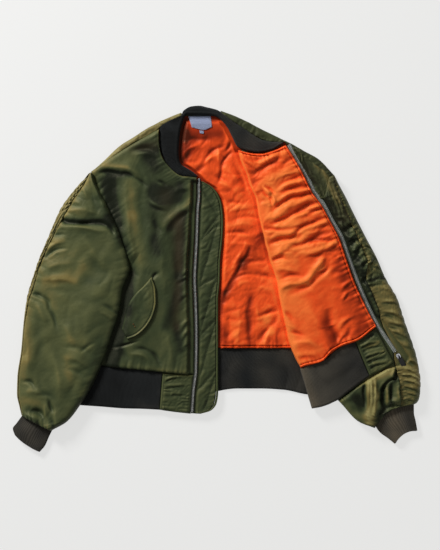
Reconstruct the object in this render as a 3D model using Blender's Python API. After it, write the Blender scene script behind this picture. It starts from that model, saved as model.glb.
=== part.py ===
"""Padded bomber jacket laid flat, its left front folded open over the left sleeve.

Metres, +Z up.  The origin is on the floor under the middle of the jacket, +Y runs to the collar
and +X to the wearer's left.  Every cloth piece is a solid wall between a plain underside and a
top side that carries the puff, folds and gathers.  Tables are in millimetres on the floor plan.
"""
import bmesh
import bpy
import math
import numpy as np

MM = 0.001

# Levels of the stacked layers above the floor, mm.
BACK_SHELL = (0.0, 4.5)
BACK_LINING = (4.8, 8.5)
FRONT = (8.8, 16.0)
OPEN_SHELL = (16.3, 20.0)
OPEN_LINING = 20.3
SLEEVE_BACK = (0.0, 8.0)
SLEEVE_FRONT = 8.4
OVER_BODY = 16.4
HEM_BACK = (0.0, 7.0)
HEM_FRONT = 7.3
COLLAR = 9.0

SEAM = 0.5          # each panel stops this far short of its seam line
GATHER = 20.0       # mean length of one gather along the sleeve seams
GATHER_RISE = 3.0   # height of a gather's ridge over its grooves
SEAM_GROOVE = 3.4   # gap left for the groove along the gathered sleeve seams

# The body's side and shoulder lines: height on the plan, left x, right x.
BODY = [
    (-159.4, -294, 246),
    (-100, -278, 241),
    (-50, -259, 237),
    (-19, -245, 234),
    (8, -218, 233),
    (24, -203, 233),
    (52, -207, 233),
    (94, -219, 233),
    (118, -228, 234),
    (143, -240, 235),
    (176, -256, 241),
    (204, -271, 250),
    (229, -284, 256),
    (245, -288, 258),
    (283, -258, 234),
    (303, -238, 199),
    (318, -219, 171),
    (335, -190, 139),
    (355, -162, 103),
    (370, -133, 73),
    (376, -119, 59),
    (384, -101, 40),
    (391, -83, 22),
    (396, -73, 9),
    (402, -58, -22),
]

# The part of the back lining that shows: height, left x, right x.
WINDOW = [
    (-159.4, 3, 174),
    (-94, 3, 157),
    (-24, 5, 142),
    (42, 8, 124),
    (106, 13, 108),
    (153, 13, 97),
    (188, 8, 91),
    (216, -9, 79),
    (231, -33, 74),
    (245, -46, 69),
    (262, -66, 62),
    (271, -80, 58),
    (287, -87, 54),
    (303, -88, 49),
    (322, -87, 42),
    (336, -85, 33),
    (355, -82, 24),
    (371, -78, 11),
    (384, -73, 1),
]

# Right front: armhole and side point, neck and zip point, from the shoulder to the hem.
FRONT_RIGHT = [
    (-288, 257, -136, 352),
    (-282, 226, -135, 322),
    (-273, 204, -129, 291),
    (-258, 176, -109, 262),
    (-251, 161, -83, 243),
    (-242, 143, -47, 238),
    (-230, 118, -47, 200),
    (-221, 94, -50, 162),
    (-209, 52, -52, 103),
    (-204, 24, -55, 54),
    (-245, -19, -57, 5),
    (-269, -82, -55, -59),
    (-287, -141, -53, -127),
    (-303, -198.5, -54, -222.5),
]

FRONT_BOW = (-2.0, 3.0)         # how far the shoulder seam bulges
OPEN_BOW = (0.0, -15.0)         # how far the open front's neck edge dips
OPEN_SHELL_BOW = (0.0, -18.0)   # the same for the shell under the lining
# Bottom edge of the open front: share of the way to its zip edge, and how far it hangs down.
OPEN_HEM = [(0.0, 0.0), (0.29, 12.0), (0.42, 1.5), (0.52, 2.0), (0.77, 10.0), (1.0, 2.5)]
SLEEVE_LEFT_BOW = (-8.0, 14.0)  # how far the left cuff's seam bulges into the sleeve

# Sleeves: outline point, width of the back panel's turn over the edge, inner point,
# and the share of the way to the inner point at which the sleeve climbs over the body.
SLEEVE_RIGHT = [
    (-298.5, 252.5, 2, -290, 248, 1.00),
    (-313, 235, 8, -284.5, 229, 1.00),
    (-327, 221, 13, -273, 204, 1.00),
    (-348, 196, 16, -258, 176, 1.00),
    (-369, 164, 19, -242, 143, 1.00),
    (-383, 134, 15, -230, 118, 1.00),
    (-395, 103, 12, -221, 94, 1.00),
    (-411, 67, 10, -209, 52, 1.00),
    (-425, 28, 9, -204, 24, 0.97),
    (-439, -14, 10, -220, -24, 0.83),
    (-448, -54, 6, -228, -73, 0.78),
    (-454, -106, 4, -247, -134, 0.76),
    (-459, -164, 4, -266, -186, 0.80),
    (-468, -228, 4, -291, -244, 0.80),
    (-469, -266, 4, -320, -291, 0.92),
    (-463, -296, 4, -352, -331, 1.00),
    (-458, -317, 4, -387, -351, 1.00),
]
SLEEVE_LEFT = [
    (274.5, 246.5, 3, 262.5, 240.5),
    (289, 219, 10, 254, 204),
    (303, 193, 14, 243, 176),
    (317, 164, 16, 237, 141),
    (331, 136, 18, 235, 106),
    (350, 99, 20, 235, 66),
    (375, 52, 25, 235, 19),
    (394, 8, 45, 237, -28),
    (409, -19, 48, 240, -59),
    (423, -42, 52, 242, -89),
    (438, -89, 53, 247, -132),
    (457, -143, 48, 251, -179),
    (472, -195, 54, 256, -221),
    (478, -247, 50, 268, -261),
    (476, -273, 45, 298, -296),
    (469, -288, 38, 331, -330),
    (461, -292, 28, 369, -345),
]

# Cuffs from the sleeve seam to the wrist: the two ends of each section and how far its
# middle is pulled towards the sleeve.
CUFF_RIGHT = [
    (-458, -318.6, -386.4, -352.6, 0),
    (-470, -335, -394, -369, 0),
    (-479, -348, -403, -389, 0),
    (-475, -361, -415, -403, -4),
]
CUFF_LEFT = [
    (462, -294.5, 371, -347.2, 9),
    (462, -310, 384, -360, 12),
    (466, -330, 400, -371, 8),
    (470, -352, 416, -384, 9),
]

# The open left front: fold edge, the body's side line under it, and the zip edge.
OPEN_FRONT = [
    (51, 303, 150, 309, 161, 315),
    (59, 275, 172, 275, 186, 275),
    (73, 240, 190, 242, 204, 242),
    (82, 212, 208, 205, 223, 204),
    (93, 188, 228, 177, 244, 176),
    (98, 157, 228, 144, 263, 141),
    (110, 103, 228, 96, 287, 94),
    (122, 56, 228, 53, 301, 52),
    (140, -5, 228, -6, 322, -7),
    (150, -54, 229, -53, 343, -52),
    (160, -101, 233, -96, 361, -87),
    (176, -164, 238, -150, 371, -104),
    (196, -205, 245, -178, 371, -107),
]
SIDE_LIFT_FROM = 178    # below this height the open front lies on the sleeve

# The strip of the left front that stays face up between the zip edge and the armhole.
OPEN_SHOULDER = [
    (173, 308, 176, 309),
    (190, 278, 196, 293),
    (209, 244, 227, 267),
    (222, 219, 260, 238),
    (235, 194, 254, 207),
    (242, 184, 247.5, 189),
]

# The back panel rolls over the shoulders to these seams: seam point, outline point.
STRIP_RIGHT = [
    (-286, 259, -294, 253),
    (-261, 277, -264, 280),
    (-224, 304, -228, 314),
    (-192, 325, -195, 335),
    (-161, 340, -164, 355),
    (-141, 352, -143, 366),
    (-132, 361, -134, 371),
    (-120, 369, -123, 376),
    (-102, 377.5, -105, 384),
    (-85.4, 385.8, -87.6, 390.8),
]
STRIP_LEFT = [
    (12, 391, 13, 395),
    (35, 376, 40, 385),
    (67, 354, 71, 371),
    (98, 335, 103, 354),
    (128, 325, 136, 338),
    (158, 324, 162, 325),
    (171, 314, 175, 319),
    (195, 296, 201, 304),
    (231, 271, 238, 283),
    (262, 242, 272, 248),
]

# Ribbed collar: outer and inner edge, from the right front's neck end round to the left's.
COLLAR_RIB = [
    (-50, 240, -46, 245),
    (-66, 242, -59, 255),
    (-82, 245, -70, 262),
    (-103, 257, -83, 270),
    (-121, 280, -89, 287),
    (-129, 301, -90, 303),
    (-133, 322, -89, 322),
    (-133, 348, -86, 348),
    (-130.8, 359.8, -82, 364),
    (-119, 368.2, -79, 374),
    (-101.2, 376.6, -75, 383),
    (-82.2, 385.2, -71.5, 386.5),
    (-77, 394.5, -68.5, 387),
    (-61, 404, -56, 386),
    (-42, 406, -38, 386),
    (-21, 402, -14, 385),
    (0, 396, 0, 381),
    (21, 382, 13, 371),
    (40, 368, 26, 354),
    (52, 360, 35, 336),
    (68, 349, 49, 311),
    (87, 336, 71, 301),
    (106, 326, 96, 297),
    (129, 322, 126, 302),
    (153, 321, 156, 319),
]

# Ribs and end panels of the hem, top edge to bottom edge.
RIB_BACK = [
    (-295, -160, -316, -280),
    (-228, -160, -228, -284),
    (-134, -160, -134, -289),
    (-52, -160, -52, -289),
    (5, -160, -2, -262),
    (78, -160, 49, -255),
    (141, -160, 103, -255),
    (174, -160, 157, -258),
    (207, -160, 206, -268),
    (243, -160, 242, -273),
]
RIB_RIGHT = [
    (-310, -202, -324, -293),
    (-273, -205, -280, -296),
    (-221, -207, -214, -301),
    (-181, -211, -174, -302),
    (-128, -218, -135, -304),
]
RIB_LEFT = [
    (196, -209, 223, -300, 0),
    (214, -199, 241, -297, 0),
    (236, -193, 262, -290, 0),
    (243, -190, 268, -287, 1),
    (258, -183, 284, -279, 1),
    (273, -168, 307, -261, 1),
    (296, -153, 331, -243, 1),
    (321, -145, 355, -226, 1),
]
PANEL_RIGHT = [
    (-126, -219, -133, -304),
    (-89, -222, -99, -309),
    (-56, -224, -63.2, -313),
]
PANEL_LEFT = [
    (324, -143, 358, -224),
    (347, -130, 389, -209),
    (370, -114, 412, -194),
]

# Zip lines, from the neck to the hem.
ZIP_RIGHT = [
    (-42, 236),
    (-42, 200),
    (-45, 162),
    (-47, 103),
    (-50, 45),
    (-52, 5),
    (-50, -47),
    (-48, -127),
    (-49, -209),
    (-55, -261),
    (-58, -308),
]
ZIP_LEFT = [
    (168, 316),
    (191, 275),
    (210, 242),
    (229, 204),
    (249, 177),
    (268, 141),
    (292, 98),
    (307, 55),
    (327, 0),
    (347, -48),
    (376, -107),
    (400, -143),
    (416, -167),
]
ZIP_HALF_TAPE = 3.3
ZIP_HALF_CHAIN = 2.2

# Right edge of the storm flap, from its top corner round to the hem.
FLAP_EDGE = [
    (-33, 231),
    (-9, 216),
    (5, 196),
    (12, 174),
    (15, 136),
    (13, 94),
    (8, 45),
    (7, 0),
    (3, -47),
    (3, -127),
    (3, -209),
    (3, -261),
    (-1, -289),
    (-15, -306),
    (-38, -313),
]
BINDING = 5.0

# Pocket flap: sewn edge, free edge.
POCKET = [
    (-153, 7, -150, 3),
    (-172, -15, -142, -24),
    (-189, -31, -141, -52),
    (-204, -52, -147, -80),
    (-213, -73, -164, -110),
    (-217, -94, -188, -131),
    (-222, -115, -208, -139),
]
POCKET_MIDDLE = (-180.0, -70.0)

LABEL = [(-67, 384, -59, 357), (-40, 384, -31, 351), (-15, 384, -12, 358)]
SIZE_TAB = [(-41, 350, -40, 343), (-31, 348.5, -31, 342)]

# Zip slider and pull tab.
SLIDER_AT = (424.0, -178.0)
PULL_DIRECTION = (0.48, -0.88)
SLIDER_BOTTOM = 17.0
PIVOT_HEIGHT = 26.5
PULL_LENGTH = 24.0
PULL_WIDTH = 11.0

# Folds: start, end, half width, height (below zero for a trough).
FRONT_FOLDS = [
    (-275, 256, -223, 254, 9, -4.0),
    (-223, 254, -181, 237, 9, -4.5),
    (-181, 237, -167, 228, 8, -3.0),
    (-195, 308, -157, 305, 10, -3.0),
    (-245, 232, -178, 262, 14, 3.0),
    (-232, 215, -215, 110, 15, 3.5),
    (-200, 220, -188, 90, 16, -2.5),
    (-165, 200, -158, 60, 16, 2.5),
    (-120, 210, -112, -20, 12, -2.5),
    (-85, 190, -82, 0, 13, 2.0),
    (-130, -40, -120, -170, 13, -2.5),
    (-90, -30, -86, -190, 12, 2.0),
    (-188, -157, -160, -167, 9, -3.5),
    (-160, -167, -136, -190, 9, -3.5),
    (-205, -170, -180, -196, 10, 3.0),
]
LINING_FOLDS = [
    (73, 82, 50, 35, 10, -3.0),
    (50, 35, 31, 0, 10, -3.5),
    (31, 0, 14, -45, 10, -3.0),
    (85, 70, 40, -10, 12, 3.0),
    (19, 117, 78, 115, 10, -2.5),
    (25, 132, 80, 134, 12, 2.0),
    (68, 14, 136, 2, 10, -2.5),
    (70, 30, 138, 22, 12, 2.5),
    (87, -87, 148, -56, 10, -3.0),
    (96, -146, 139, -73, 10, -2.5),
    (75, -38, 75, -145, 9, -3.0),
    (56, -45, 52, -140, 12, 2.5),
    (-60, 330, -20, 262, 12, -2.5),
    (-20, 320, 20, 262, 12, 2.5),
    (-10, 250, 40, 200, 11, -2.5),
    (30, 290, 60, 215, 11, -2.0),
    (40, 170, 88, 180, 11, 2.0),
]
OPEN_FOLDS = [
    (80, 285, 150, 296, 9, -3.0),
    (72, 258, 120, 275, 9, 3.0),
    (92, 228, 190, 262, 9, -3.5),
    (96, 243, 170, 275, 9, 3.0),
    (97, 196, 128, 176, 8, -4.0),
    (110, 176, 210, 218, 9, -3.5),
    (104, 152, 228, 190, 9, 3.5),
    (112, 136, 240, 170, 8, -3.5),
    (112, 118, 245, 150, 9, 3.5),
    (118, 98, 262, 132, 8, -3.5),
    (125, 80, 262, 112, 9, 3.5),
    (128, 60, 276, 95, 8, -3.5),
    (134, 42, 280, 72, 9, 3.5),
    (138, 22, 292, 58, 8, -3.5),
    (142, 2, 290, 34, 10, 3.5),
    (148, -20, 305, 16, 9, -3.0),
    (160, -60, 300, -20, 16, 3.0),
    (262, -110, 278, -156, 12, -5.0),
    (300, -30, 330, -90, 12, -2.5),
    (190, -120, 240, -170, 14, 3.0),
    (176, -90, 200, -150, 10, -2.5),
]
RIGHT_SLEEVE_FOLDS = [
    (-362, 148, -336, 137, 9, -4.5),
    (-336, 137, -284, 137, 9, -5.0),
    (-284, 137, -244, 122, 9, -4.5),
    (-350, 165, -262, 172, 15, 3.5),
    (-392, 58, -352, 76, 8, -3.0),
    (-402, 92, -300, 100, 18, 3.0),
    (-420, -28, -390, -78, 9, -4.0),
    (-405, -12, -330, -20, 15, 3.0),
    (-378, -100, -350, -240, 20, 3.5),
    (-430, -110, -425, -220, 15, 3.0),
    (-290, -60, -270, -140, 16, 3.5),
    (-300, -120, -330, -230, 14, -3.0),
    (-434, -300, -404, -326, 8, -4.0),
    (-392, -272, -390, -300, 8, -3.5),
    (-440, -262, -370, -290, 12, 3.0),
]
LEFT_SLEEVE_FOLDS = [
    (270, 190, 310, 205, 8, -2.5),
    (262, 175, 318, 186, 8, 2.5),
    (285, 140, 338, 158, 8, -3.0),
    (285, 122, 350, 132, 9, 3.0),
    (312, 98, 345, 98, 8, -4.0),
    (322, 47, 345, 57, 8, -4.0),
    (338, -8, 392, 8, 9, -5.0),
    (320, 25, 372, 34, 10, 3.5),
    (352, -60, 400, -75, 9, -3.0),
    (362, -228, 362, -335, 9, 4.0),
    (388, -240, 390, -315, 8, -4.5),
    (405, -245, 412, -295, 9, 4.0),
    (430, -250, 430, -290, 8, -3.5),
    (300, -300, 345, -320, 12, -3.0),
]

# Base colour, roughness and metallic of each material.
MATERIALS = {
    "nylon_green": ((0.060, 0.072, 0.030), 0.50, 0.0),
    "nylon_gold": ((0.115, 0.080, 0.024), 0.50, 0.0),
    "lining_orange": ((0.82, 0.125, 0.018), 0.55, 0.0),
    "rib_charcoal": ((0.018, 0.018, 0.016), 0.90, 0.0),
    "zip_tape_olive": ((0.075, 0.085, 0.060), 0.80, 0.0),
    "zip_metal": ((0.42, 0.43, 0.42), 0.35, 1.0),
    "slider_metal": ((0.62, 0.63, 0.64), 0.30, 1.0),
    "pull_dark": ((0.022, 0.020, 0.018), 0.60, 0.0),
    "label_cloth": ((0.60, 0.62, 0.72), 0.80, 0.0),
}


def start_scene():
    """Empty the scene and make the jacket's collection and materials."""
    for old in list(bpy.data.objects):
        bpy.data.objects.remove(old, do_unlink=True)
    collection = bpy.data.collections.new("bomber_jacket")
    bpy.context.scene.collection.children.link(collection)
    for name, (colour, roughness, metallic) in MATERIALS.items():
        material = bpy.data.materials.new(name)
        material.use_nodes = True
        shader = material.node_tree.nodes["Principled BSDF"]
        shader.inputs["Base Color"].default_value = (*colour, 1.0)
        shader.inputs["Roughness"].default_value = roughness
        shader.inputs["Metallic"].default_value = metallic
        material.diffuse_color = (*colour, 1.0)
    return collection


def rows_at(table, distances):
    """Smooth rows through a table, at distances along its first point's line."""
    table = np.array(table, float)
    steps = np.hypot(np.diff(table[:, 0]), np.diff(table[:, 1]))
    far = np.hypot(np.diff(table[:, -2]), np.diff(table[:, -1])) if table.shape[1] == 4 else steps
    at = np.concatenate([[0.0], np.cumsum(np.maximum(0.5 * (steps + far), 1.0))])
    rate = np.diff(table, axis=0) / np.diff(at)[:, None]
    before, after = rate[:-1], rate[1:]
    same_way = before * after > 0
    total = np.where(same_way, before + after, 1.0)
    inner = np.where(same_way, 2 * before * after / total, 0.0)
    slope = np.vstack([rate[:1], inner, rate[-1:]])
    wanted = np.asarray(distances, float) * at[-1]
    k = np.clip(np.searchsorted(at, wanted, side="right") - 1, 0, len(at) - 2)
    span = at[k + 1] - at[k]
    t = ((wanted - at[k]) / span)[:, None]
    span = span[:, None]
    return (
        (2 * t**3 - 3 * t**2 + 1) * table[k]
        + (t**3 - 2 * t**2 + t) * span * slope[k]
        + (3 * t**2 - 2 * t**3) * table[k + 1]
        + (t**3 - t**2) * span * slope[k + 1]
    )


def even_rows(table, count):
    """The table's rows resampled at even distances."""
    return rows_at(table, np.linspace(0.0, 1.0, count))


def spread(count, ends=0.55):
    """Fractions from 0 to 1, drawn closer together at both ends."""
    plain = np.linspace(0.0, 1.0, count)
    return (1 - ends) * plain + ends * 0.5 * (1 - np.cos(math.pi * plain))


def ease(value):
    """Smooth step from 0 to 1."""
    value = np.clip(value, 0.0, 1.0)
    return value * value * (3 - 2 * value)


def across(rows, fractions):
    """Plan points on each row at the given fractions from its start to its end."""
    start, end = rows[:, None, 0:2], rows[:, None, -2:]
    fractions = np.broadcast_to(fractions, (len(rows), np.shape(fractions)[-1]))[..., None]
    return start + (end - start) * fractions


def inset(rows, start, end):
    """Rows cut short by the given lengths at their two ends."""
    rows = rows.copy()
    along = rows[:, -2:] - rows[:, 0:2]
    along /= np.maximum(np.linalg.norm(along, axis=1, keepdims=True), 0.001)
    rows[:, 0:2] += along * start
    rows[:, -2:] -= along * end
    return rows


def bowed(points, fractions, shift, last=False):
    """Bend the first or last row of a grid by a shift that fades out along the piece."""
    middle = np.sin(math.pi * np.broadcast_to(fractions, points.shape[:-1]))
    steps = np.linalg.norm(np.diff(points.mean(axis=1), axis=0), axis=1)
    away = np.concatenate([[0.0], np.cumsum(steps)])
    away = away[-1] - away if last else away
    fade = np.exp(-away / 45.0)[:, None]
    return points + np.array(shift) * (middle * fade)[..., None]


def distance_to(line, points):
    """Distance from each plan point to an open line, above zero on the line's left side."""
    line = np.array(line, float)
    flat = points.reshape(-1, 2)
    best = np.full(len(flat), 1e9)
    side = np.ones(len(flat))
    for a, b in zip(line[:-1], line[1:]):
        run = b - a
        t = np.clip(((flat - a) @ run) / max(run @ run, 1e-9), 0, 1)
        away = flat - (a + t[:, None] * run)
        length = np.hypot(away[:, 0], away[:, 1])
        cross = run[0] * (flat[:, 1] - a[1]) - run[1] * (flat[:, 0] - a[0])
        nearer = length < best
        best = np.where(nearer, length, best)
        side = np.where(nearer, np.sign(cross), side)
    return (best * side).reshape(points.shape[:-1])


def folds(table, points):
    """Height added by soft ridges and troughs along short lines."""
    height = np.zeros(points.shape[:-1])
    for x1, y1, x2, y2, half_width, rise in table:
        a, run = np.array((x1, y1)), np.array((x2 - x1, y2 - y1))
        t = np.clip(((points - a) @ run) / (run @ run), 0, 1)
        away = np.linalg.norm(points - (a + t[..., None] * run), axis=-1)
        height += rise * np.exp(-((away / half_width) ** 2)) * (0.45 + 0.55 * np.sin(math.pi * t))
    return height


def rounding(points, radius, drop):
    """How far the top sinks near the four edges: start, end, first row, last row."""
    width = np.linalg.norm(np.diff(points, axis=1), axis=-1)
    length = np.linalg.norm(np.diff(points, axis=0), axis=-1)
    zero_column = np.zeros((points.shape[0], 1))
    zero_row = np.zeros((1, points.shape[1]))
    from_start = np.hstack([zero_column, np.cumsum(width, axis=1)])
    from_first = np.vstack([zero_row, np.cumsum(length, axis=0)])
    edges = (
        from_start,
        from_start[:, -1:] - from_start,
        from_first,
        from_first[-1:, :] - from_first,
    )
    sink = np.zeros(points.shape[:-1])
    for away, r, d in zip(edges, radius, drop):
        near = 1 - np.clip(away / r, 0, 1)
        sink = np.maximum(sink, d * (1 - np.sqrt(1 - near**2)))
    return sink


def add_object(collection, name, material, mesh_data):
    """Mesh object from vertices in mm and faces, with outward triangles."""
    points, faces = mesh_data
    mesh = bpy.data.meshes.new(name)
    mesh.from_pydata([tuple(float(c) * MM for c in p) for p in points], [], faces)
    shaped = bmesh.new()
    shaped.from_mesh(mesh)
    bmesh.ops.recalc_face_normals(shaped, faces=shaped.faces)
    bmesh.ops.triangulate(shaped, faces=shaped.faces, ngon_method="EAR_CLIP")
    shaped.to_mesh(mesh)
    shaped.free()
    mesh.materials.append(bpy.data.materials[material])
    made = bpy.data.objects.new(name, mesh)
    collection.objects.link(made)
    return made


def raised(points, heights):
    """Plan points with their heights as (rows, columns, 3)."""
    heights = np.broadcast_to(heights, points.shape[:-1])
    return np.concatenate([points, heights[..., None]], axis=-1)


def end_cap(points, over, under):
    """Triangles between the upper and lower lines of points at one end of a panel."""
    shares = []
    for line in (over, under):
        steps = np.linalg.norm(np.diff(points[line][:, :2], axis=0), axis=1)
        run = np.concatenate([[0.0], np.cumsum(steps)])
        shares.append(run / run[-1])
    a, b, faces = 0, 0, []
    while a < len(over) - 1 or b < len(under) - 1:
        over_next = a < len(over) - 1 and (
            b == len(under) - 1 or shares[0][a + 1] <= shares[1][b + 1]
        )
        if over_next:
            faces.append((over[a], over[a + 1], under[b]))
            a += 1
        else:
            faces.append((over[a], under[b + 1], under[b]))
            b += 1
    return faces


def slab_mesh(top, bottom):
    """Closed solid between a top grid and a bottom grid with the same number of rows."""
    n, m = top.shape[:2]
    k = bottom.shape[1]
    points = np.concatenate([top.reshape(-1, 3), bottom.reshape(-1, 3)])
    base = n * m
    faces = []
    for i in range(n - 1):
        for j in range(m - 1):
            a = i * m + j
            faces += [(a, a + 1, a + m + 1), (a, a + m + 1, a + m)]
        for j in range(k - 1):
            b = base + i * k + j
            faces += [(b, b + k + 1, b + 1), (b, b + k, b + k + 1)]
        faces.append((i * m, (i + 1) * m, base + (i + 1) * k, base + i * k))
        last, under = i * m + m - 1, base + i * k + k - 1
        faces.append((last, under, under + k, last + m))
    for i in (0, n - 1):
        over = [i * m + j for j in range(m)]
        under = [base + i * k + j for j in range(k)]
        faces += end_cap(points, over, under)
    return points, faces


def slab(collection, name, material, rows, columns, top, bottom, radius, drop, bottom_at=(0, 1)):
    """Panel with a plain underside; top is a height or a function of the plan points."""
    points = across(rows, columns)
    under = across(rows, np.array(bottom_at, float))
    height = top(points) if callable(top) else np.full(points.shape[:-1], float(top))
    floor = bottom(under) if callable(bottom) else np.full(under.shape[:-1], float(bottom))
    height = height - rounding(points, radius, drop)
    return add_object(
        collection, name, material, slab_mesh(raised(points, height), raised(under, floor))
    )


def gather_rows(length, start, end, plain_step):
    """Distances of the rows along a gathered seam, and the ridge height on each row."""
    at, rise, here, k = [], [], 0.0, 0
    while here < length - 1:
        size = GATHER * (1 + 0.22 * math.sin(2.3 * k + 0.6))
        if start <= here < end:
            strength = 0.75 + 0.25 * math.sin(1.7 * k)
            at += [here, here + 0.25 * size, here + 0.5 * size, here + 0.75 * size]
            rise += [0.0, 0.85 * strength, strength, 0.85 * strength]
            here += size
        else:
            at.append(here)
            rise.append(0.6)
            here += plain_step
        k += 1
    keep = [d < length - 3 for d in at]
    at = [d for d, k in zip(at, keep) if k] + [length]
    rise = [r for r, k in zip(rise, keep) if k] + [0.5]
    return np.array(at) / length, np.array(rise)


def line_length(table):
    """Length used by rows_at for the whole table."""
    table = np.array(table, float)
    steps = np.hypot(np.diff(table[:, 0]), np.diff(table[:, 1]))
    return float(np.maximum(steps, 1.0).sum())


def level_rows(table, first, last, count):
    """Horizontal rows of the body between two heights."""
    table = np.array(table, float)
    height = np.linspace(first, last, count)
    left = np.interp(height, table[:, 0], table[:, 1])
    right = np.interp(height, table[:, 0], table[:, 2])
    return np.stack([left, height, right, height], axis=1)


def body_rows(count_low, count_high):
    """The body's rows, closer together over the shoulders."""
    low = level_rows(BODY, BODY[0][0], 229, count_low)
    high = level_rows(BODY, 245, BODY[-1][0], count_high)
    return np.vstack([low, high])


def back_shell(collection):
    """Outer back panel on the floor."""
    slab(
        collection, "back_shell", "nylon_green", inset(body_rows(16, 12), 1.5, 1.5), spread(7),
        BACK_SHELL[1], BACK_SHELL[0], (5, 5, 5, 5), (2, 2, 2, 2),
    )


def window_clear(points):
    """0 where another piece lies on the back lining, 1 well inside the open window."""
    table = np.array(WINDOW, float)
    left = np.interp(points[..., 1], table[:, 0], table[:, 1])
    right = np.interp(points[..., 1], table[:, 0], table[:, 2])
    away = np.minimum(points[..., 0] - left, right - points[..., 0])
    away = np.minimum(away, 340 - points[..., 1])
    return ease((away - 3) / 22)


def back_lining_top(points):
    """Puffed lining between the storm flap and the open front."""
    clear = window_clear(points)
    return BACK_LINING[1] + clear * np.maximum(4.0 + folds(LINING_FOLDS, points), 0.4)


def back_lining(collection):
    """Orange back lining; plain wherever it is covered."""
    rows = level_rows(BODY, BODY[0][0], 384, 46)
    window = level_rows(WINDOW, WINDOW[0][0], 384, 46)
    wide = rows[:, 2] - rows[:, 0]
    rows = inset(rows, 4, 4)
    start = (window[:, 0] - rows[:, 0]) / wide
    stop = (window[:, 2] - rows[:, 0]) / wide
    inner = start[:, None] + (stop - start)[:, None] * np.linspace(0, 1, 15)[None, :]
    inner = np.clip(inner, 0.02, 0.98)
    columns = np.hstack([np.zeros((46, 1)), inner, np.ones((46, 1))])
    slab(
        collection, "back_lining", "lining_orange", rows, columns,
        back_lining_top, BACK_LINING[0], (5, 5, 5, 5), (1.5, 1.5, 1.5, 1.5),
    )


def sleeve_edge():
    """Inner edge of the right sleeve where it lies on the body, from the armpit down."""
    return [(row[3], row[4]) for row in SLEEVE_RIGHT[7:15]]


def front_clear(points):
    """0 under the right sleeve, 1 where the right front is free."""
    below = distance_to(sleeve_edge(), points) - 3
    return np.where(points[..., 1] > 60, 1.0, ease(below / 30))


def front_top(points):
    """Height of the right front without its folds."""
    return FRONT[1] + 6.0 * front_clear(points)


def front_shape(points):
    """Height of the right front with its folds, plain under the pocket flap."""
    from_pocket = (points - np.array(POCKET_MIDDLE)) / np.array((1.0, 1.3))
    free = ease((np.linalg.norm(from_pocket, axis=-1) - 62) / 22) * front_clear(points)
    return front_top(points) + free * folds(FRONT_FOLDS, points)


def front_right_shell(collection):
    """Right front, closed over the body."""
    rows = inset(even_rows(FRONT_RIGHT, 40), 0.6 + SEAM, 0.2)
    columns, under_columns = spread(22, 0.35), np.linspace(0, 1, 4)
    points = bowed(across(rows, columns), columns, FRONT_BOW)
    under = bowed(across(rows, under_columns), under_columns, FRONT_BOW)
    height = front_shape(points) - rounding(points, (9, 7, 9, 8), (5, 3.5, 4, 4))
    mesh_data = slab_mesh(raised(points, height), raised(under, FRONT[0]))
    add_object(collection, "front_right_shell", "nylon_green", mesh_data)


def sleeve_cover(points):
    """0 where the open front, its hem and its zip lie on the left sleeve, 1 where it is free."""
    line = [(row[4], row[5]) for row in OPEN_FRONT[3:11]]
    line += [(380, -102), (406, -139), (424, -162), (438, -184), (412, -198), (355, -232)]
    line += [(331, -247), (307, -265), (284, -283), (262, -294)]
    return ease((distance_to(line, points) - 17) / 18)


def no_cover(points):
    """Every point is free."""
    return np.ones(points.shape[:-1])


def sleeve_back(collection, name, table, gathered, top_height, wrap_columns, free, bow):
    """Back sleeve panel: flat on the floor, turned up over the outline to the gathered seam."""
    table = np.array(table, float)
    length = line_length(table[:, 0:2])
    at, rise = gather_rows(length, gathered[0], gathered[1], 24.0)
    full = rows_at(table, at)
    turn = full[:, 2:3]
    rows = full[:, [0, 1, 3, 4]]
    stop = full[:, 5] if full.shape[1] == 6 else np.ones(len(full))
    wide = np.linalg.norm(rows[:, 2:] - rows[:, :2], axis=1)
    reach = np.where(stop < 0.995, stop * wide - 4.0, wide - SEAM - 0.3)
    turn = np.minimum(turn, 0.55 * reach[:, None])
    along = (rows[:, 2:] - rows[:, :2]) / wide[:, None]
    wobble = 1.6 * (rise[:, None] - 0.6)
    rows[:, :2] -= along * wobble
    rows[:, 2:] = rows[:, :2] + along * reach[:, None]
    over = np.hstack([turn * f for f in wrap_columns])
    beyond = np.hstack([turn + 1.6, 0.5 * (turn + reach[:, None]), reach[:, None]])
    columns = np.hstack([over, beyond]) / reach[:, None]
    points = bowed(across(rows, columns), columns, bow, last=True)
    outer = len(wrap_columns)
    ridge = GATHER_RISE * (rise[:, None] - 0.6)
    height = np.full(points.shape[:-1], SLEEVE_BACK[1])
    lift = np.array([math.sin(0.5 * math.pi * (0.22 + 0.78 * f) ** 0.6) for f in wrap_columns])
    height[:, :outer] = SLEEVE_BACK[1] - 3 + (top_height - SLEEVE_BACK[1] + 3) * lift + ridge
    height -= rounding(points, (1, 3, 6, 6), (0, 2, 4, 3))
    height = np.minimum(height, 15.6 + 20 * free(points))
    under_columns = np.linspace(0, 1, 4)
    under = bowed(across(rows, under_columns), under_columns, bow, last=True)
    add_object(
        collection, name, "nylon_gold",
        slab_mesh(raised(points, height), raised(under, SLEEVE_BACK[0])),
    )


def sleeve_front_rows(table, count, inner_gap):
    """Rows of a front sleeve panel from the gathered seam to its inner edge."""
    full = even_rows(np.array(table, float), count)
    rows = full[:, [0, 1, 3, 4]]
    wide = np.linalg.norm(rows[:, 2:] - rows[:, :2], axis=1)
    turn = np.minimum(full[:, 2], 0.55 * wide)
    stop = full[:, 5] if full.shape[1] == 6 else np.ones(len(full))
    along = (rows[:, 2:] - rows[:, :2]) / wide[:, None]
    start = rows[:, :2] + along * (turn[:, None] + SEAM_GROOVE)
    end = rows[:, 2:] - along * inner_gap
    body = (stop * wide - turn - SEAM_GROOVE) / np.maximum(wide - turn - SEAM_GROOVE - inner_gap, 0.1)
    return np.hstack([start, end]), body, ((turn + SEAM_GROOVE) / wide)[:, None]


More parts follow.
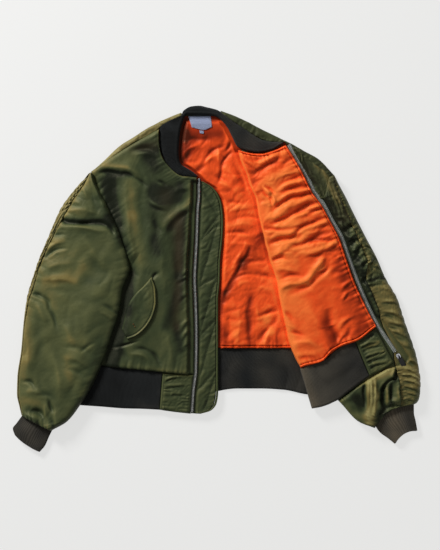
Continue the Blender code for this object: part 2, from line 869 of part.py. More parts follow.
def sleeve_right_front(collection):
    """Front panel of the right sleeve; below the armpit it climbs over the body's side."""
    rows, body, _ = sleeve_front_rows(SLEEVE_RIGHT, 34, SEAM)
    points = across(rows, spread(15, 0.45))
    wide = np.linalg.norm(rows[:, 2:] - rows[:, :2], axis=1)
    climb = np.where(body < 0.995, np.minimum(body - 4.0 / wide, 0.93), 0.93)
    lifted = np.where(body < 0.995, 1.0, 0.0)
    zero, one = np.zeros(len(rows)), np.ones(len(rows))
    under_at = np.stack([zero, climb, climb + 3.2 / wide, one], axis=1)
    under = across(rows, under_at)
    low = np.full(under.shape[:-1], SLEEVE_FRONT)
    low[:, 2:] += (OVER_BODY - SLEEVE_FRONT) * lifted[:, None]
    fraction = np.broadcast_to(spread(15, 0.45), points.shape[:-1])
    on_body = ease((fraction - climb[:, None] + 0.35) / 0.35) * lifted[:, None]
    dome = 8.0 * np.sqrt(4 * fraction * (1 - fraction))
    height = 19.5 + 8.5 * on_body + dome + folds(RIGHT_SLEEVE_FOLDS, points)
    height -= rounding(points, (9, 12, 10, 14), (4, 7, 5, 6))
    mesh_data = slab_mesh(raised(points, height), raised(under, low))
    add_object(collection, "sleeve_right_front", "nylon_green", mesh_data)


def sleeve_left_front(collection):
    """Front panel of the left sleeve, plain under the open front."""
    rows, _, first = sleeve_front_rows(SLEEVE_LEFT, 34, SEAM)

    def bent(columns):
        share = first + (1 - first) * columns[None, :]
        return bowed(across(rows, columns), share, SLEEVE_LEFT_BOW, last=True)

    points, under = bent(spread(17, 0.25)), bent(np.linspace(0, 1, 5))
    puff = np.maximum(8.5 + folds(LEFT_SLEEVE_FOLDS, points), 0.0)
    height = 16.0 + sleeve_cover(points) * puff - rounding(points, (8, 6, 8, 12), (4, 4, 4, 4))
    mesh_data = slab_mesh(raised(points, height), raised(under, SLEEVE_FRONT))
    add_object(collection, "sleeve_left_front", "nylon_green", mesh_data)


def cuff(collection, name, table):
    """Ribbed cuff: a flattened tube open at the wrist."""
    rows = even_rows(table, 6)
    around = 20
    outer, inner = [], []
    for row in rows:
        a, b, bow = row[0:2], row[2:4], row[4]
        middle, half = (a + b) / 2, np.linalg.norm(b - a) / 2
        along = (b - a) / (2 * half)
        upward = np.array((-along[1], along[0])) * np.sign(along[0] if abs(along[0]) > 0.2 else 1)
        for ring, reach, rise in ((outer, half, 7.2), (inner, half - 5.0, 1.5)):
            line = []
            for k in range(around):
                turn = 2 * math.pi * (k + 0.5) / around
                flat = math.copysign(abs(math.cos(turn)) ** 0.75, math.cos(turn))
                tall = math.copysign(abs(math.sin(turn)) ** 0.55, math.sin(turn))
                spot = middle + along * reach * flat + upward * bow * (1 - flat * flat)
                line.append((spot[0], spot[1], 7.4 + rise * tall))
            ring.append(line)
    outer, inner = np.array(outer), np.array(inner)
    n, m = outer.shape[:2]
    points = np.concatenate([outer.reshape(-1, 3), inner.reshape(-1, 3)])
    base = n * m
    faces = []
    for i in range(n - 1):
        for j in range(m):
            a, b = i * m + j, i * m + (j + 1) % m
            faces += [(a, b, b + m), (a, b + m, a + m)]
            faces += [(base + a, base + b + m, base + b), (base + a, base + a + m, base + b + m)]
    for i in (0, n - 1):
        for j in range(m):
            a, b = i * m + j, i * m + (j + 1) % m
            faces += [(a, b, base + b), (a, base + b, base + a)]
    add_object(collection, name, "rib_charcoal", (points, faces))


def open_front_rows(count):
    """Rows of the open left front with its side line."""
    return even_rows(np.array(OPEN_FRONT, float), count)


def hung(points, fractions, short=0.0):
    """Lower the last rows of the open front to its wavy bottom edge, or a bit short of it."""
    share, drop = np.array(OPEN_HEM).T
    fractions = np.broadcast_to(fractions, points.shape[:-1])
    k = np.clip(np.searchsorted(share, fractions, side="right") - 1, 0, len(share) - 2)
    part_way = ease((fractions - share[k]) / (share[k + 1] - share[k]))
    steps = np.linalg.norm(np.diff(points, axis=0), axis=-1)
    away = np.vstack([np.cumsum(steps[::-1], axis=0)[::-1], np.zeros((1, points.shape[1]))])
    lowered = points.copy()
    wave = np.maximum(drop[k] + (drop[k + 1] - drop[k]) * part_way - short, 0.0)
    lowered[..., 1] -= wave * np.exp(-away / 25.0)
    return lowered


def front_left_shell(collection):
    """Open left front: its shell and the hidden layers under it as one solid."""
    full = open_front_rows(26)
    rows = full[:, [0, 1, 4, 5]]
    rows = inset(rows, 7.0, 1.0)
    wide = np.linalg.norm(rows[:, 2:] - rows[:, :2], axis=1)
    side = np.linalg.norm(full[:, 2:4] - full[:, 0:2], axis=1) - 7.0
    step = np.minimum(side, wide - 7.0) / wide
    lifted = (full[:, 5] < SIDE_LIFT_FROM).astype(float)
    one = np.ones(len(rows))
    inner = [step * share for share in (0.0, 0.2, 0.4, 0.6, 0.8, 1.0)]
    under_columns = np.stack(inner + [step + 3.0 / wide, one], axis=1)
    under = bowed(across(rows, under_columns), under_columns, OPEN_SHELL_BOW)
    under = hung(under, 0.035 + 0.96 * under_columns, 8.0)
    low = np.full(under.shape[:-1], FRONT[0])
    low[:, 6:] += (OPEN_SHELL[0] - FRONT[0]) * lifted[:, None]
    columns = spread(9)
    points = bowed(across(rows, columns), columns, OPEN_SHELL_BOW)
    points = hung(points, 0.035 + 0.96 * columns, 8.0)
    height = OPEN_SHELL[1] - rounding(points, (3, 4, 4, 4), (1, 1.5, 1.5, 1.5))
    mesh_data = slab_mesh(raised(points, height), raised(under, low))
    add_object(collection, "front_left_shell", "nylon_green", mesh_data)


def front_left_lining(collection):
    """Orange lining of the open left front, rolled over the fold edge."""
    rows = open_front_rows(38)[:, [0, 1, 4, 5]]
    wide = np.linalg.norm(rows[:, 2:] - rows[:, :2], axis=1)[:, None]
    roll_at = np.array((1.2, 0.0, 0.0, 1.6, 4.5, 9.0))
    roll_height = np.array((8.8, 12.0, 17.5, 22.0, 25.0, 27.0))
    rest = 9.0 + (wide - 9.0) * np.linspace(0, 1, 20)[None, 1:]
    columns = np.hstack([np.repeat(roll_at[None, :], len(rows), axis=0), rest]) / wide
    points = hung(bowed(across(rows, columns), columns, OPEN_BOW), columns)
    lift = 27.5 + 5.0 * np.sqrt(4 * np.clip(columns * (1 - columns), 0, 1))
    lift[:, :6] = roll_height
    fade = ease((columns * wide - 6) / 14)
    height = lift + fade * folds(OPEN_FOLDS, points)
    height = np.maximum(height - rounding(points, (1, 9, 9, 9), (0, 4, 3.5, 3.5)), 8.8)
    height[:, 0] = FRONT[0]
    near = np.array((1.6, 5.6, 6.0))[None, :] / wide
    beyond = np.repeat(np.linspace(0.12, 1.0, 9)[None, :], len(rows), axis=0)
    under_columns = np.hstack([near, beyond])
    under = hung(bowed(across(rows, under_columns), under_columns, OPEN_BOW), under_columns)
    levels = np.array([FRONT[0]] * 2 + [OPEN_LINING] * 10)
    low = np.broadcast_to(levels, under.shape[:-1])
    mesh_data = slab_mesh(raised(points, height), raised(under, low))
    add_object(collection, "front_left_lining", "lining_orange", mesh_data)


def shoulders(collection):
    """Back panel rolled over both shoulders, and the left front's strip beside its zip."""
    for name, table in (("shoulder_strip_right", STRIP_RIGHT), ("shoulder_strip_left", STRIP_LEFT)):
        slab(
            collection, name, "nylon_gold", even_rows(table, 26), spread(5),
            15.5, FRONT[0], (3, 8, 4, 4), (2, 5, 3, 3),
        )
    slab(
        collection, "front_left_shoulder", "nylon_green", even_rows(OPEN_SHOULDER, 16), spread(8),
        16.0, FRONT[0], (6, 6, 4, 4), (2, 3, 3, 3),
    )


def collar(collection):
    """Ribbed collar band."""
    rows = even_rows(COLLAR_RIB, 40)
    slab(
        collection, "collar_rib", "rib_charcoal", rows, spread(7, 0.4),
        19.0, COLLAR, (7, 6, 4, 4), (5, 4, 3, 3),
    )


def hem(collection):
    """Ribbed hem and its end panels."""
    edge_radius, edge_drop, under_lining = (5, 7, 4, 4), (2.5, 3.5, 2, 2), (3.2, 3.5, 2, 2)
    slab(
        collection, "hem_rib_back", "rib_charcoal", even_rows(RIB_BACK, 22), spread(6),
        HEM_BACK[1], HEM_BACK[0], edge_radius, edge_drop,
    )
    slab(
        collection, "hem_rib_right", "rib_charcoal", even_rows(RIB_RIGHT, 12), spread(6),
        14.0, HEM_FRONT, edge_radius, edge_drop,
    )
    slab(
        collection, "hem_panel_right", "nylon_green", even_rows(PANEL_RIGHT, 8), spread(8),
        15.5, HEM_FRONT, edge_radius, edge_drop,
    )
    slab(
        collection, "hem_panel_left", "nylon_green", even_rows(PANEL_LEFT, 8), spread(8),
        23.0, OPEN_SHELL[0], edge_radius, under_lining,
    )
    left = np.array(RIB_LEFT, float)
    rows = left[:, :4]
    points = across(rows, spread(6))
    height = 23.0 - rounding(points, edge_radius, under_lining)
    low = HEM_FRONT + (OPEN_SHELL[0] - HEM_FRONT) * left[:, 4:5]
    under = across(rows, np.array((0.0, 1.0)))
    mesh_data = slab_mesh(raised(points, height), raised(under, np.repeat(low, 2, axis=1)))
    add_object(collection, "hem_rib_left", "rib_charcoal", mesh_data)


def zip_x(height):
    """Where the right zip line runs at a height on the plan."""
    line = np.array(ZIP_RIGHT[::-1], float)
    return np.interp(height, line[:, 1], line[:, 0])


def storm_flap(collection):
    """Flap under the closed zip half, with its bound edge."""
    edge = even_rows(FLAP_EDGE, 34)
    heights = np.linspace(232, -310, 34) * 0.35 + edge[:, 1] * 0.65
    start = np.stack([zip_x(heights) - 3.4, heights], axis=1)
    rows = np.hstack([start, edge])
    slab(
        collection, "storm_flap", "nylon_green", inset(rows, 0.0, BINDING + 0.4), spread(8, 0.3),
        13.4, FRONT[0] + 0.2, (3, 3, 3, 3), (0.8, 0.8, 1, 1),
    )
    away = edge - start
    away /= np.linalg.norm(away, axis=1, keepdims=True)
    binding = np.hstack([edge - away * BINDING, edge])
    slab(
        collection, "flap_binding", "nylon_green", binding, np.linspace(0, 1, 4),
        14.2, FRONT[0] + 0.2, (2.4, 2.4, 2, 2), (1.2, 1.8, 1, 1),
    )


def pocket_flap(collection):
    """Slanted pocket flap lying on the right front."""
    rows = even_rows(POCKET, 14)
    slab(
        collection, "pocket_flap", "nylon_green", rows, spread(9),
        lambda points: front_top(points) + 5.0, lambda points: front_top(points) + 0.7,
        (4, 5, 3, 3), (2.5, 2.5, 2, 2), np.linspace(0, 1, 6),
    )


def beside(line, count, left, right):
    """Rows across a line, from its left side to its right side going down the line."""
    centre = even_rows(line, count)
    run = np.gradient(centre, axis=0)
    run /= np.linalg.norm(run, axis=1, keepdims=True)
    normal = np.stack([-run[:, 1], run[:, 0]], axis=1)
    return np.hstack([centre - normal * left, centre + normal * right])


def zips(collection):
    """Zip halves: tape and the raised bar that carries the teeth."""
    for side, line, low in (("right", ZIP_RIGHT, 13.8), ("left", ZIP_LEFT, 16.6)):
        slab(
            collection, f"zip_tape_{side}", "zip_tape_olive",
            beside(line, 22, ZIP_HALF_TAPE, ZIP_HALF_TAPE), np.linspace(0, 1, 3),
            low + 1.6, low, (1, 1, 1, 1), (0.3, 0.3, 0.3, 0.3),
        )
        slab(
            collection, f"zip_chain_{side}", "zip_metal",
            beside(line, 22, ZIP_HALF_CHAIN, ZIP_HALF_CHAIN), np.linspace(0, 1, 4),
            low + 4.2, low + 1.9, (1.4, 1.4, 1, 1), (0.9, 0.9, 0.5, 0.5),
        )


def labels(collection):
    """Neck label and size tab, both bare."""
    for name, table in (("label_main", LABEL), ("label_size", SIZE_TAB)):
        slab(
            collection, name, "label_cloth", even_rows(table, 5), np.linspace(0, 1, 4),
            10.2, BACK_LINING[1] + 0.4, (1, 1, 1, 1), (0.3, 0.3, 0.3, 0.3),
        )


def box_mesh(along, across_way, low, high, corner):
    """Box with cut corners in the slider's own directions, mm."""
    (x0, x1), (y0, y1) = along, across_way
    c = corner
    plan = [
        (x0 + c, y0), (x1 - c, y0), (x1, y0 + c), (x1, y1 - c),
        (x1 - c, y1), (x0 + c, y1), (x0, y1 - c), (x0, y0 + c),
    ]
    points = [(x, y, low) for x, y in plan] + [(x, y, high) for x, y in plan]
    faces = [tuple(range(8))[::-1], tuple(range(8, 16))]
    faces += [(k, (k + 1) % 8, 8 + (k + 1) % 8, 8 + k) for k in range(8)]
    return points, faces


def ring_mesh(radius, bore, half_width, sides):
    """Ring round the cross axis, centred on the origin."""
    points, faces = [], []
    for k in range(sides):
        turn = 2 * math.pi * k / sides
        for r, y in ((radius, -half_width), (radius, half_width), (bore, half_width), (bore, -half_width)):
            points.append((r * math.cos(turn), y, r * math.sin(turn)))
    for k in range(sides):
        a, b = 4 * k, 4 * ((k + 1) % sides)
        for j in range(4):
            faces.append((a + j, b + j, b + (j + 1) % 4, a + (j + 1) % 4))
    return points, faces


def union(target, tool, operation="UNION"):
    """Merge or cut one solid with another, then drop the tool."""
    step = target.modifiers.new("join", "BOOLEAN")
    step.operation = operation
    step.solver = "EXACT"
    step.object = tool
    bpy.context.view_layer.update()
    shaped = bpy.data.meshes.new_from_object(target.evaluated_get(bpy.context.evaluated_depsgraph_get()))
    target.modifiers.clear()
    target.data = shaped
    bpy.data.objects.remove(tool, do_unlink=True)


def place_slider(made, height):
    """Turn a piece built along +X to the pull's direction and set it at the slider."""
    made.location = (SLIDER_AT[0] * MM, SLIDER_AT[1] * MM, height * MM)
    made.rotation_euler = (0, 0, math.atan2(PULL_DIRECTION[1], PULL_DIRECTION[0]))


def slider_and_pull(collection):
    """Metal slider with its bridge, and the pull tab that hinges on it."""
    slider = add_object(
        collection, "zip_slider", "slider_metal", box_mesh((-6, 5), (-4.5, 4.5), 0, 4.6, 1.6)
    )
    for y in (-3.4, 3.4):
        post = add_object(
            collection, "post", "slider_metal",
            box_mesh((-1.5, 1.5), (y - 0.8, y + 0.8), 4.0, 10.9, 0.4),
        )
        union(slider, post)
    pin = add_object(
        collection, "pin", "slider_metal", box_mesh((-0.9, 0.9), (-3.0, 3.0), 8.6, 10.4, 0.3)
    )
    union(slider, pin)
    place_slider(slider, SLIDER_BOTTOM)

    pull = add_object(collection, "zip_pull", "pull_dark", ring_mesh(2.9, 1.6, 1.6, 20))
    tab = add_object(
        collection, "tab", "pull_dark",
        box_mesh((4.4, 4.4 + PULL_LENGTH), (-PULL_WIDTH / 2, PULL_WIDTH / 2), -1.1, 1.1, 2.5),
    )
    neck = add_object(
        collection, "neck", "pull_dark", box_mesh((2.2, 5.4), (-1.5, 1.5), -0.9, 0.9, 0.2)
    )
    union(tab, neck)
    union(pull, tab)
    place_slider(pull, PIVOT_HEIGHT)
    pull.rotation_euler[1] = math.radians(8)


def build():
    """Make every piece of the jacket."""
    collection = start_scene()
    back_shell(collection)
    back_lining(collection)
    front_right_shell(collection)
    sleeve_back(
        collection, "sleeve_right_back", SLEEVE_RIGHT, (0, 360), 18.0,
        (0.0, 0.18, 0.45, 0.75, 1.0), no_cover, (0.0, 0.0),
    )
    sleeve_right_front(collection)
    sleeve_back(
        collection, "sleeve_left_back", SLEEVE_LEFT, (250, 560), 20.0,
        (0.0, 0.07, 0.2, 0.45, 0.75, 1.0), sleeve_cover, SLEEVE_LEFT_BOW,
    )
    sleeve_left_front(collection)
    cuff(collection, "cuff_right", CUFF_RIGHT)
    cuff(collection, "cuff_left", CUFF_LEFT)
    front_left_shell(collection)
    front_left_lining(collection)
    shoulders(collection)
    collar(collection)
    hem(collection)
    storm_flap(collection)
    pocket_flap(collection)
    zips(collection)
    labels(collection)
    slider_and_pull(collection)


build()
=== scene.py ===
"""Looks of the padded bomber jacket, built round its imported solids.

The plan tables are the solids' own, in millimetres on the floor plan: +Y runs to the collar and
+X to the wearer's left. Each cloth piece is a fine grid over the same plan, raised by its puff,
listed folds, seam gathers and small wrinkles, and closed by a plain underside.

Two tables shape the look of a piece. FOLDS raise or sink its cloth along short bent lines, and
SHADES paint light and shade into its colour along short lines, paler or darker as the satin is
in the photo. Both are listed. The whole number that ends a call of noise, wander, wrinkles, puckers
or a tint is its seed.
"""
import math

import bmesh
import bpy
import numpy as np
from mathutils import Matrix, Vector
from mathutils.bvhtree import BVHTree


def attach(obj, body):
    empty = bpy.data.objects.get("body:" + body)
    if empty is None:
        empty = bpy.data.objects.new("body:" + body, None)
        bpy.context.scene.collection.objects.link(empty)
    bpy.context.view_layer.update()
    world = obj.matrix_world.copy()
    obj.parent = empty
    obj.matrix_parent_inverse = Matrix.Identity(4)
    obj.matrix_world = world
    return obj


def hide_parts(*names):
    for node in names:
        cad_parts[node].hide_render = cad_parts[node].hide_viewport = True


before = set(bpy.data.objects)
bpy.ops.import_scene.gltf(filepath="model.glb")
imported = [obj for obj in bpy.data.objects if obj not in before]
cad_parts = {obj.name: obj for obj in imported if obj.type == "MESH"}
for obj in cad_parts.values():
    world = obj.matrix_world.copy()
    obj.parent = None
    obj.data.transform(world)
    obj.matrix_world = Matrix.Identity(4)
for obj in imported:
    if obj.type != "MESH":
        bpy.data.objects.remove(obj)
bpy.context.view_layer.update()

MM = 0.001
STEP = 2.4          # spacing of the fine grids, mm

# Levels of the stacked layers above the floor, mm.
BACK_SHELL = (0.0, 4.5)
BACK_LINING = (4.8, 8.5)
FRONT = (8.8, 16.0)
OPEN_SHELL = (16.3, 20.0)
OPEN_LINING = 20.3
SLEEVE_BACK = (0.0, 8.0)
SLEEVE_FRONT = 8.4
OVER_BODY = 16.4
HEM_BACK = (0.0, 7.0)
HEM_FRONT = 7.3
COLLAR = 9.0

# Mean tops of the finer pieces.
RIGHT_SLEEVE_TOP = 19.0
RIGHT_SLEEVE_ON_BODY = 8.0      # how much higher the right sleeve lies on the body
RIGHT_SLEEVE_DOME = 11.0
LEFT_SLEEVE_TOP = 15.6
LEFT_SLEEVE_PUFF = 11.0
UNDER_OPEN_FRONT = 15.4         # the left sleeve's back panel stays below this under the front
LINING_PUFF = 6.5
STRIP_TOP = 16.5
SHOULDER_TOP = 17.5
OPEN_TOP = 26.5
OPEN_PUFF = 6.5
OPEN_LIMIT = 46.0   # the open front's puff is cut off here
FLAP_TOP = 12.8
FLAP_BINDING_TOP = 15.2
COLLAR_TOP = 19.5
HEM_TOPS = (7.6, 15.0, 24.5)    # back, right front, left front
HEM_ON_SLEEVE = 239.5   # from this x on the left hem rib lies on the sleeve

SEAM = 0.5          # each panel stops this far short of its seam line
GATHER = 20.0       # mean length of one gather along the sleeve seams
GATHER_RISE = 3.0   # height of a gather's ridge over its grooves
PLAIN_RISE = 0.6    # share of that height where the seam has no gathers
PLAIN_STEP = 24.0   # step along such a plain stretch
EDGE_FOOT = 1.5     # height at which the sleeve's turned up edge starts
EDGE_RADIUS = 17.0  # it is round up to this far in
NO_CLIMB = 0.995    # from this share on, a sleeve doesn't climb over the body
CLIMB_LIMIT = 0.93

# The body's side and shoulder lines: height on the plan, left x, right x.
BODY = [
    (-159.4, -294, 246),
    (-100, -278, 241),
    (-50, -259, 237),
    (-19, -245, 234),
    (8, -218, 233),
    (24, -203, 233),
    (52, -207, 233),
    (94, -219, 233),
    (118, -228, 234),
    (143, -240, 235),
    (176, -256, 241),
    (204, -271, 250),
    (229, -284, 256),
    (245, -288, 258),
    (283, -258, 234),
    (303, -238, 199),
    (318, -219, 171),
    (335, -190, 139),
    (355, -162, 103),
    (370, -133, 73),
    (376, -119, 59),
    (384, -101, 40),
    (391, -83, 22),
    (396, -73, 9),
    (402, -58, -22),
]

# The part of the back lining that shows: height, left x, right x.
WINDOW = [
    (-159.4, 3, 174),
    (-94, 3, 157),
    (-24, 5, 142),
    (42, 8, 124),
    (106, 13, 108),
    (153, 13, 97),
    (188, 8, 91),
    (216, -9, 79),
    (231, -33, 74),
    (245, -46, 69),
    (262, -66, 62),
    (271, -80, 58),
    (287, -87, 54),
    (303, -88, 49),
    (322, -87, 42),
    (336, -85, 33),
    (355, -82, 24),
    (371, -78, 11),
    (384, -73, 1),
]

# Right front: armhole and side point, neck and zip point, from the shoulder to the hem.
FRONT_RIGHT = [
    (-288, 257, -136, 352),
    (-282, 226, -135, 322),
    (-273, 204, -129, 291),
    (-258, 176, -109, 262),
    (-251, 161, -83, 243),
    (-242, 143, -47, 238),
    (-230, 118, -47, 200),
    (-221, 94, -50, 162),
    (-209, 52, -52, 103),
    (-204, 24, -55, 54),
    (-245, -19, -57, 5),
    (-269, -82, -55, -59),
    (-287, -141, -53, -127),
    (-303, -198.5, -54, -222.5),
]

FRONT_BOW = (-2.0, 3.0)         # how far the shoulder seam bulges
OPEN_BOW = (0.0, -15.0)         # how far the open front's neck edge dips
OPEN_SHELL_BOW = (0.0, -18.0)   # the same for the shell under the lining
# Bottom edge of the open front: share of the way to its zip edge, and how far it hangs down.
OPEN_HEM = [(0.0, 0.0), (0.29, 12.0), (0.42, 1.5), (0.52, 2.0), (0.77, 10.0), (1.0, 2.5)]
SLEEVE_LEFT_BOW = (-8.0, 14.0)  # how far the left cuff's seam bulges into the sleeve
BOW_FADE = 45.0                 # a bow fades out over this length
HANG_FADE = 25.0                # and the open front's wavy edge over this one

# Sleeves: outline point, width of the back panel's turn over the edge, inner point,
# and the share of the way to the inner point at which the sleeve climbs over the body.
SLEEVE_RIGHT = [
    (-298.5, 252.5, 2, -290, 248, 1.00),
    (-313, 235, 8, -284.5, 229, 1.00),
    (-327, 221, 13, -273, 204, 1.00),
    (-348, 196, 16, -258, 176, 1.00),
    (-369, 164, 19, -242, 143, 1.00),
    (-383, 134, 15, -230, 118, 1.00),
    (-395, 103, 12, -221, 94, 1.00),
    (-411, 67, 10, -209, 52, 1.00),
    (-425, 28, 9, -204, 24, 0.97),
    (-439, -14, 10, -220, -24, 0.83),
    (-448, -54, 6, -228, -73, 0.78),
    (-454, -106, 4, -247, -134, 0.76),
    (-459, -164, 4, -266, -186, 0.80),
    (-468, -228, 4, -291, -244, 0.80),
    (-469, -266, 4, -320, -291, 0.92),
    (-463, -296, 4, -352, -331, 1.00),
    (-458, -317, 4, -387, -351, 1.00),
]
SLEEVE_LEFT = [
    (274.5, 246.5, 3, 262.5, 240.5),
    (289, 219, 10, 254, 204),
    (303, 193, 14, 243, 176),
    (317, 164, 16, 237, 141),
    (331, 136, 18, 235, 106),
    (350, 99, 20, 235, 66),
    (375, 52, 25, 235, 19),
    (394, 8, 45, 237, -28),
    (409, -19, 48, 240, -59),
    (423, -42, 52, 242, -89),
    (438, -89, 53, 247, -132),
    (457, -143, 48, 251, -179),
    (472, -195, 54, 256, -221),
    (478, -247, 50, 268, -261),
    (476, -273, 45, 298, -296),
    (469, -288, 38, 331, -330),
    (461, -292, 28, 369, -345),
]

# Cuffs from the sleeve seam to the wrist: the two ends of each section and how far its
# middle is pulled towards the sleeve.
CUFF_RIGHT = [
    (-458, -318.6, -386.4, -352.6, 0),
    (-470, -335, -394, -369, 0),
    (-479, -348, -403, -389, 0),
    (-475, -361, -415, -403, -4),
]
CUFF_LEFT = [
    (462, -294.5, 371, -347.2, 9),
    (462, -310, 384, -360, 12),
    (466, -330, 400, -371, 8),
    (470, -352, 416, -384, 9),
]

# The open left front: fold edge, the body's side line under it, and the zip edge.
OPEN_FRONT = [
    (51, 303, 150, 309, 161, 315),
    (59, 275, 172, 275, 186, 275),
    (73, 240, 190, 242, 204, 242),
    (82, 212, 208, 205, 223, 204),
    (93, 188, 228, 177, 244, 176),
    (98, 157, 228, 144, 263, 141),
    (110, 103, 228, 96, 287, 94),
    (122, 56, 228, 53, 301, 52),
    (140, -5, 228, -6, 322, -7),
    (150, -54, 229, -53, 343, -52),
    (160, -101, 233, -96, 361, -87),
    (176, -164, 238, -150, 371, -104),
    (196, -205, 245, -178, 371, -107),
]
SIDE_LIFT_FROM = 178    # below this height the open front lies on the sleeve
OPEN_SHELL_INSET = 7.0  # the shell stays this far behind the lining's fold edge
ARM_TIPS = (229, 245)   # heights between which the body's side turns into its shoulder
ARMPIT_ROWS = slice(7, 15)  # rows of the right sleeve where its inner edge lies on the body

# What lies on the left sleeve below the open front: the zip, the end panel and the hem.
COVER_BELOW = [
    (380, -102), (406, -139), (424, -162), (438, -184), (412, -198), (355, -232),
    (331, -247), (307, -265), (284, -283), (262, -294),
]
COVER_HEM_FROM = -198   # below this height the sleeve's puff starts closer to that line

WINDOW_TOP = 378                # above this height the collar covers the back lining
UNDER_COLLAR = 300              # above this height the collar lies on the window's right side
LABEL_AREA = (-69, -9, 346)     # left, right and bottom of what the neck label holds flat

# The strip of the left front that stays face up between the zip edge and the armhole.
OPEN_SHOULDER = [
    (173, 308, 176, 309),
    (190, 278, 196, 293),
    (209, 244, 227, 267),
    (222, 219, 260, 238),
    (235, 194, 254, 207),
    (242, 184, 247.5, 189),
]

# The back panel rolls over the shoulders to these seams: seam point, outline point.
STRIP_RIGHT = [
    (-286, 259, -294, 253),
    (-261, 277, -264, 280),
    (-224, 304, -228, 314),
    (-192, 325, -195, 335),
    (-161, 340, -164, 355),
    (-141, 352, -143, 366),
    (-132, 361, -134, 371),
    (-120, 369, -123, 376),
    (-102, 377.5, -105, 384),
    (-85.4, 385.8, -87.6, 390.8),
]
STRIP_LEFT = [
    (12, 391, 13, 395),
    (35, 376, 40, 385),
    (67, 354, 71, 371),
    (98, 335, 103, 354),
    (128, 325, 136, 338),
    (158, 324, 162, 325),
    (171, 314, 175, 319),
    (195, 296, 201, 304),
    (231, 271, 238, 283),
    (262, 242, 272, 248),
]

# Ribbed collar: outer and inner edge, from the right front's neck end round to the left's.
COLLAR_RIB = [
    (-50, 240, -46, 245),
    (-66, 242, -59, 255),
    (-82, 245, -70, 262),
    (-103, 257, -83, 270),
    (-121, 280, -89, 287),
    (-129, 301, -90, 303),
    (-133, 322, -89, 322),
    (-133, 348, -86, 348),
    (-130.8, 359.8, -82, 364),
    (-119, 368.2, -79, 374),
    (-101.2, 376.6, -75, 383),
    (-82.2, 385.2, -71.5, 386.5),
    (-77, 394.5, -68.5, 387),
    (-61, 404, -56, 386),
    (-42, 406, -38, 386),
    (-21, 402, -14, 385),
    (0, 396, 0, 381),
    (21, 382, 13, 371),
    (40, 368, 26, 354),
    (52, 360, 35, 336),
    (68, 349, 49, 311),
    (87, 336, 71, 301),
    (106, 326, 96, 297),
    (129, 322, 126, 302),
    (153, 321, 156, 319),
]

# Ribs and end panels of the hem, top edge to bottom edge.
RIB_BACK = [
    (-295, -160, -316, -280),
    (-228, -160, -228, -284),
    (-134, -160, -134, -289),
    (-52, -160, -52, -289),
    (5, -160, -2, -262),
    (78, -160, 49, -255),
    (141, -160, 103, -255),
    (174, -160, 157, -258),
    (207, -160, 206, -268),
    (243, -160, 242, -273),
]
RIB_RIGHT = [
    (-310, -202, -324, -293),
    (-273, -205, -280, -296),
    (-221, -207, -214, -301),
    (-181, -211, -174, -302),
    (-128, -218, -135, -304),
]
RIB_LEFT = [
    (196, -209, 223, -300, 0),
    (214, -199, 241, -297, 0),
    (236, -193, 262, -290, 0),
    (243, -190, 268, -287, 1),
    (258, -183, 284, -279, 1),
    (273, -168, 307, -261, 1),
    (296, -153, 331, -243, 1),
    (321, -145, 355, -226, 1),
]
PANEL_RIGHT = [
    (-126, -219, -133, -304),
    (-89, -222, -99, -309),
    (-56, -224, -63.2, -313),
]
PANEL_LEFT = [
    (324, -143, 358, -224),
    (347, -130, 389, -209),
    (370, -114, 412, -194),
]

# Zip lines, from the neck to the hem.
ZIP_RIGHT = [
    (-42, 236),
    (-42, 200),
    (-45, 162),
    (-47, 103),
    (-50, 45),
    (-52, 5),
    (-50, -47),
    (-48, -127),
    (-49, -209),
    (-55, -261),
    (-58, -308),
]
ZIP_LEFT = [
    (168, 316),
    (191, 275),
    (210, 242),
    (229, 204),
    (249, 177),
    (268, 141),
    (292, 98),
    (307, 55),
    (327, 0),
    (347, -48),
    (376, -107),
    (400, -143),
    (416, -167),
]
ZIP_HALF_TAPE = 3.3

# Right edge of the storm flap, from its top corner round to the hem.
FLAP_EDGE = [
    (-33, 231),
    (-9, 216),
    (5, 196),
    (12, 174),
    (15, 136),
    (13, 94),
    (8, 45),
    (7, 0),
    (3, -47),
    (3, -127),
    (3, -209),
    (3, -261),
    (-1, -289),
    (-15, -306),
    (-38, -313),
]
FLAP_ENDS = (232, -310)     # heights of the flap's top and bottom beside the zip
BINDING = 5.0

# Pocket flap: sewn edge, free edge.
POCKET = [
    (-153, 7, -150, 3),
    (-172, -15, -142, -24),
    (-189, -31, -141, -52),
    (-204, -52, -147, -80),
    (-213, -73, -164, -110),
    (-217, -94, -188, -131),
    (-222, -115, -208, -139),
]

BARTACK = [(-196, -100), (-190, -111)]     # the pocket's bar of close stitches

LABEL = [(-67, 384, -59, 357), (-40, 384, -31, 351), (-15, 384, -12, 358)]
SIZE_TAB = [(-41, 350, -40, 343), (-31, 348.5, -31, 342)]

LABEL_SEAM = [(-65.5, 382), (-57.8, 358.8), (-31.5, 353), (-13.8, 359.6), (-16.5, 382)]

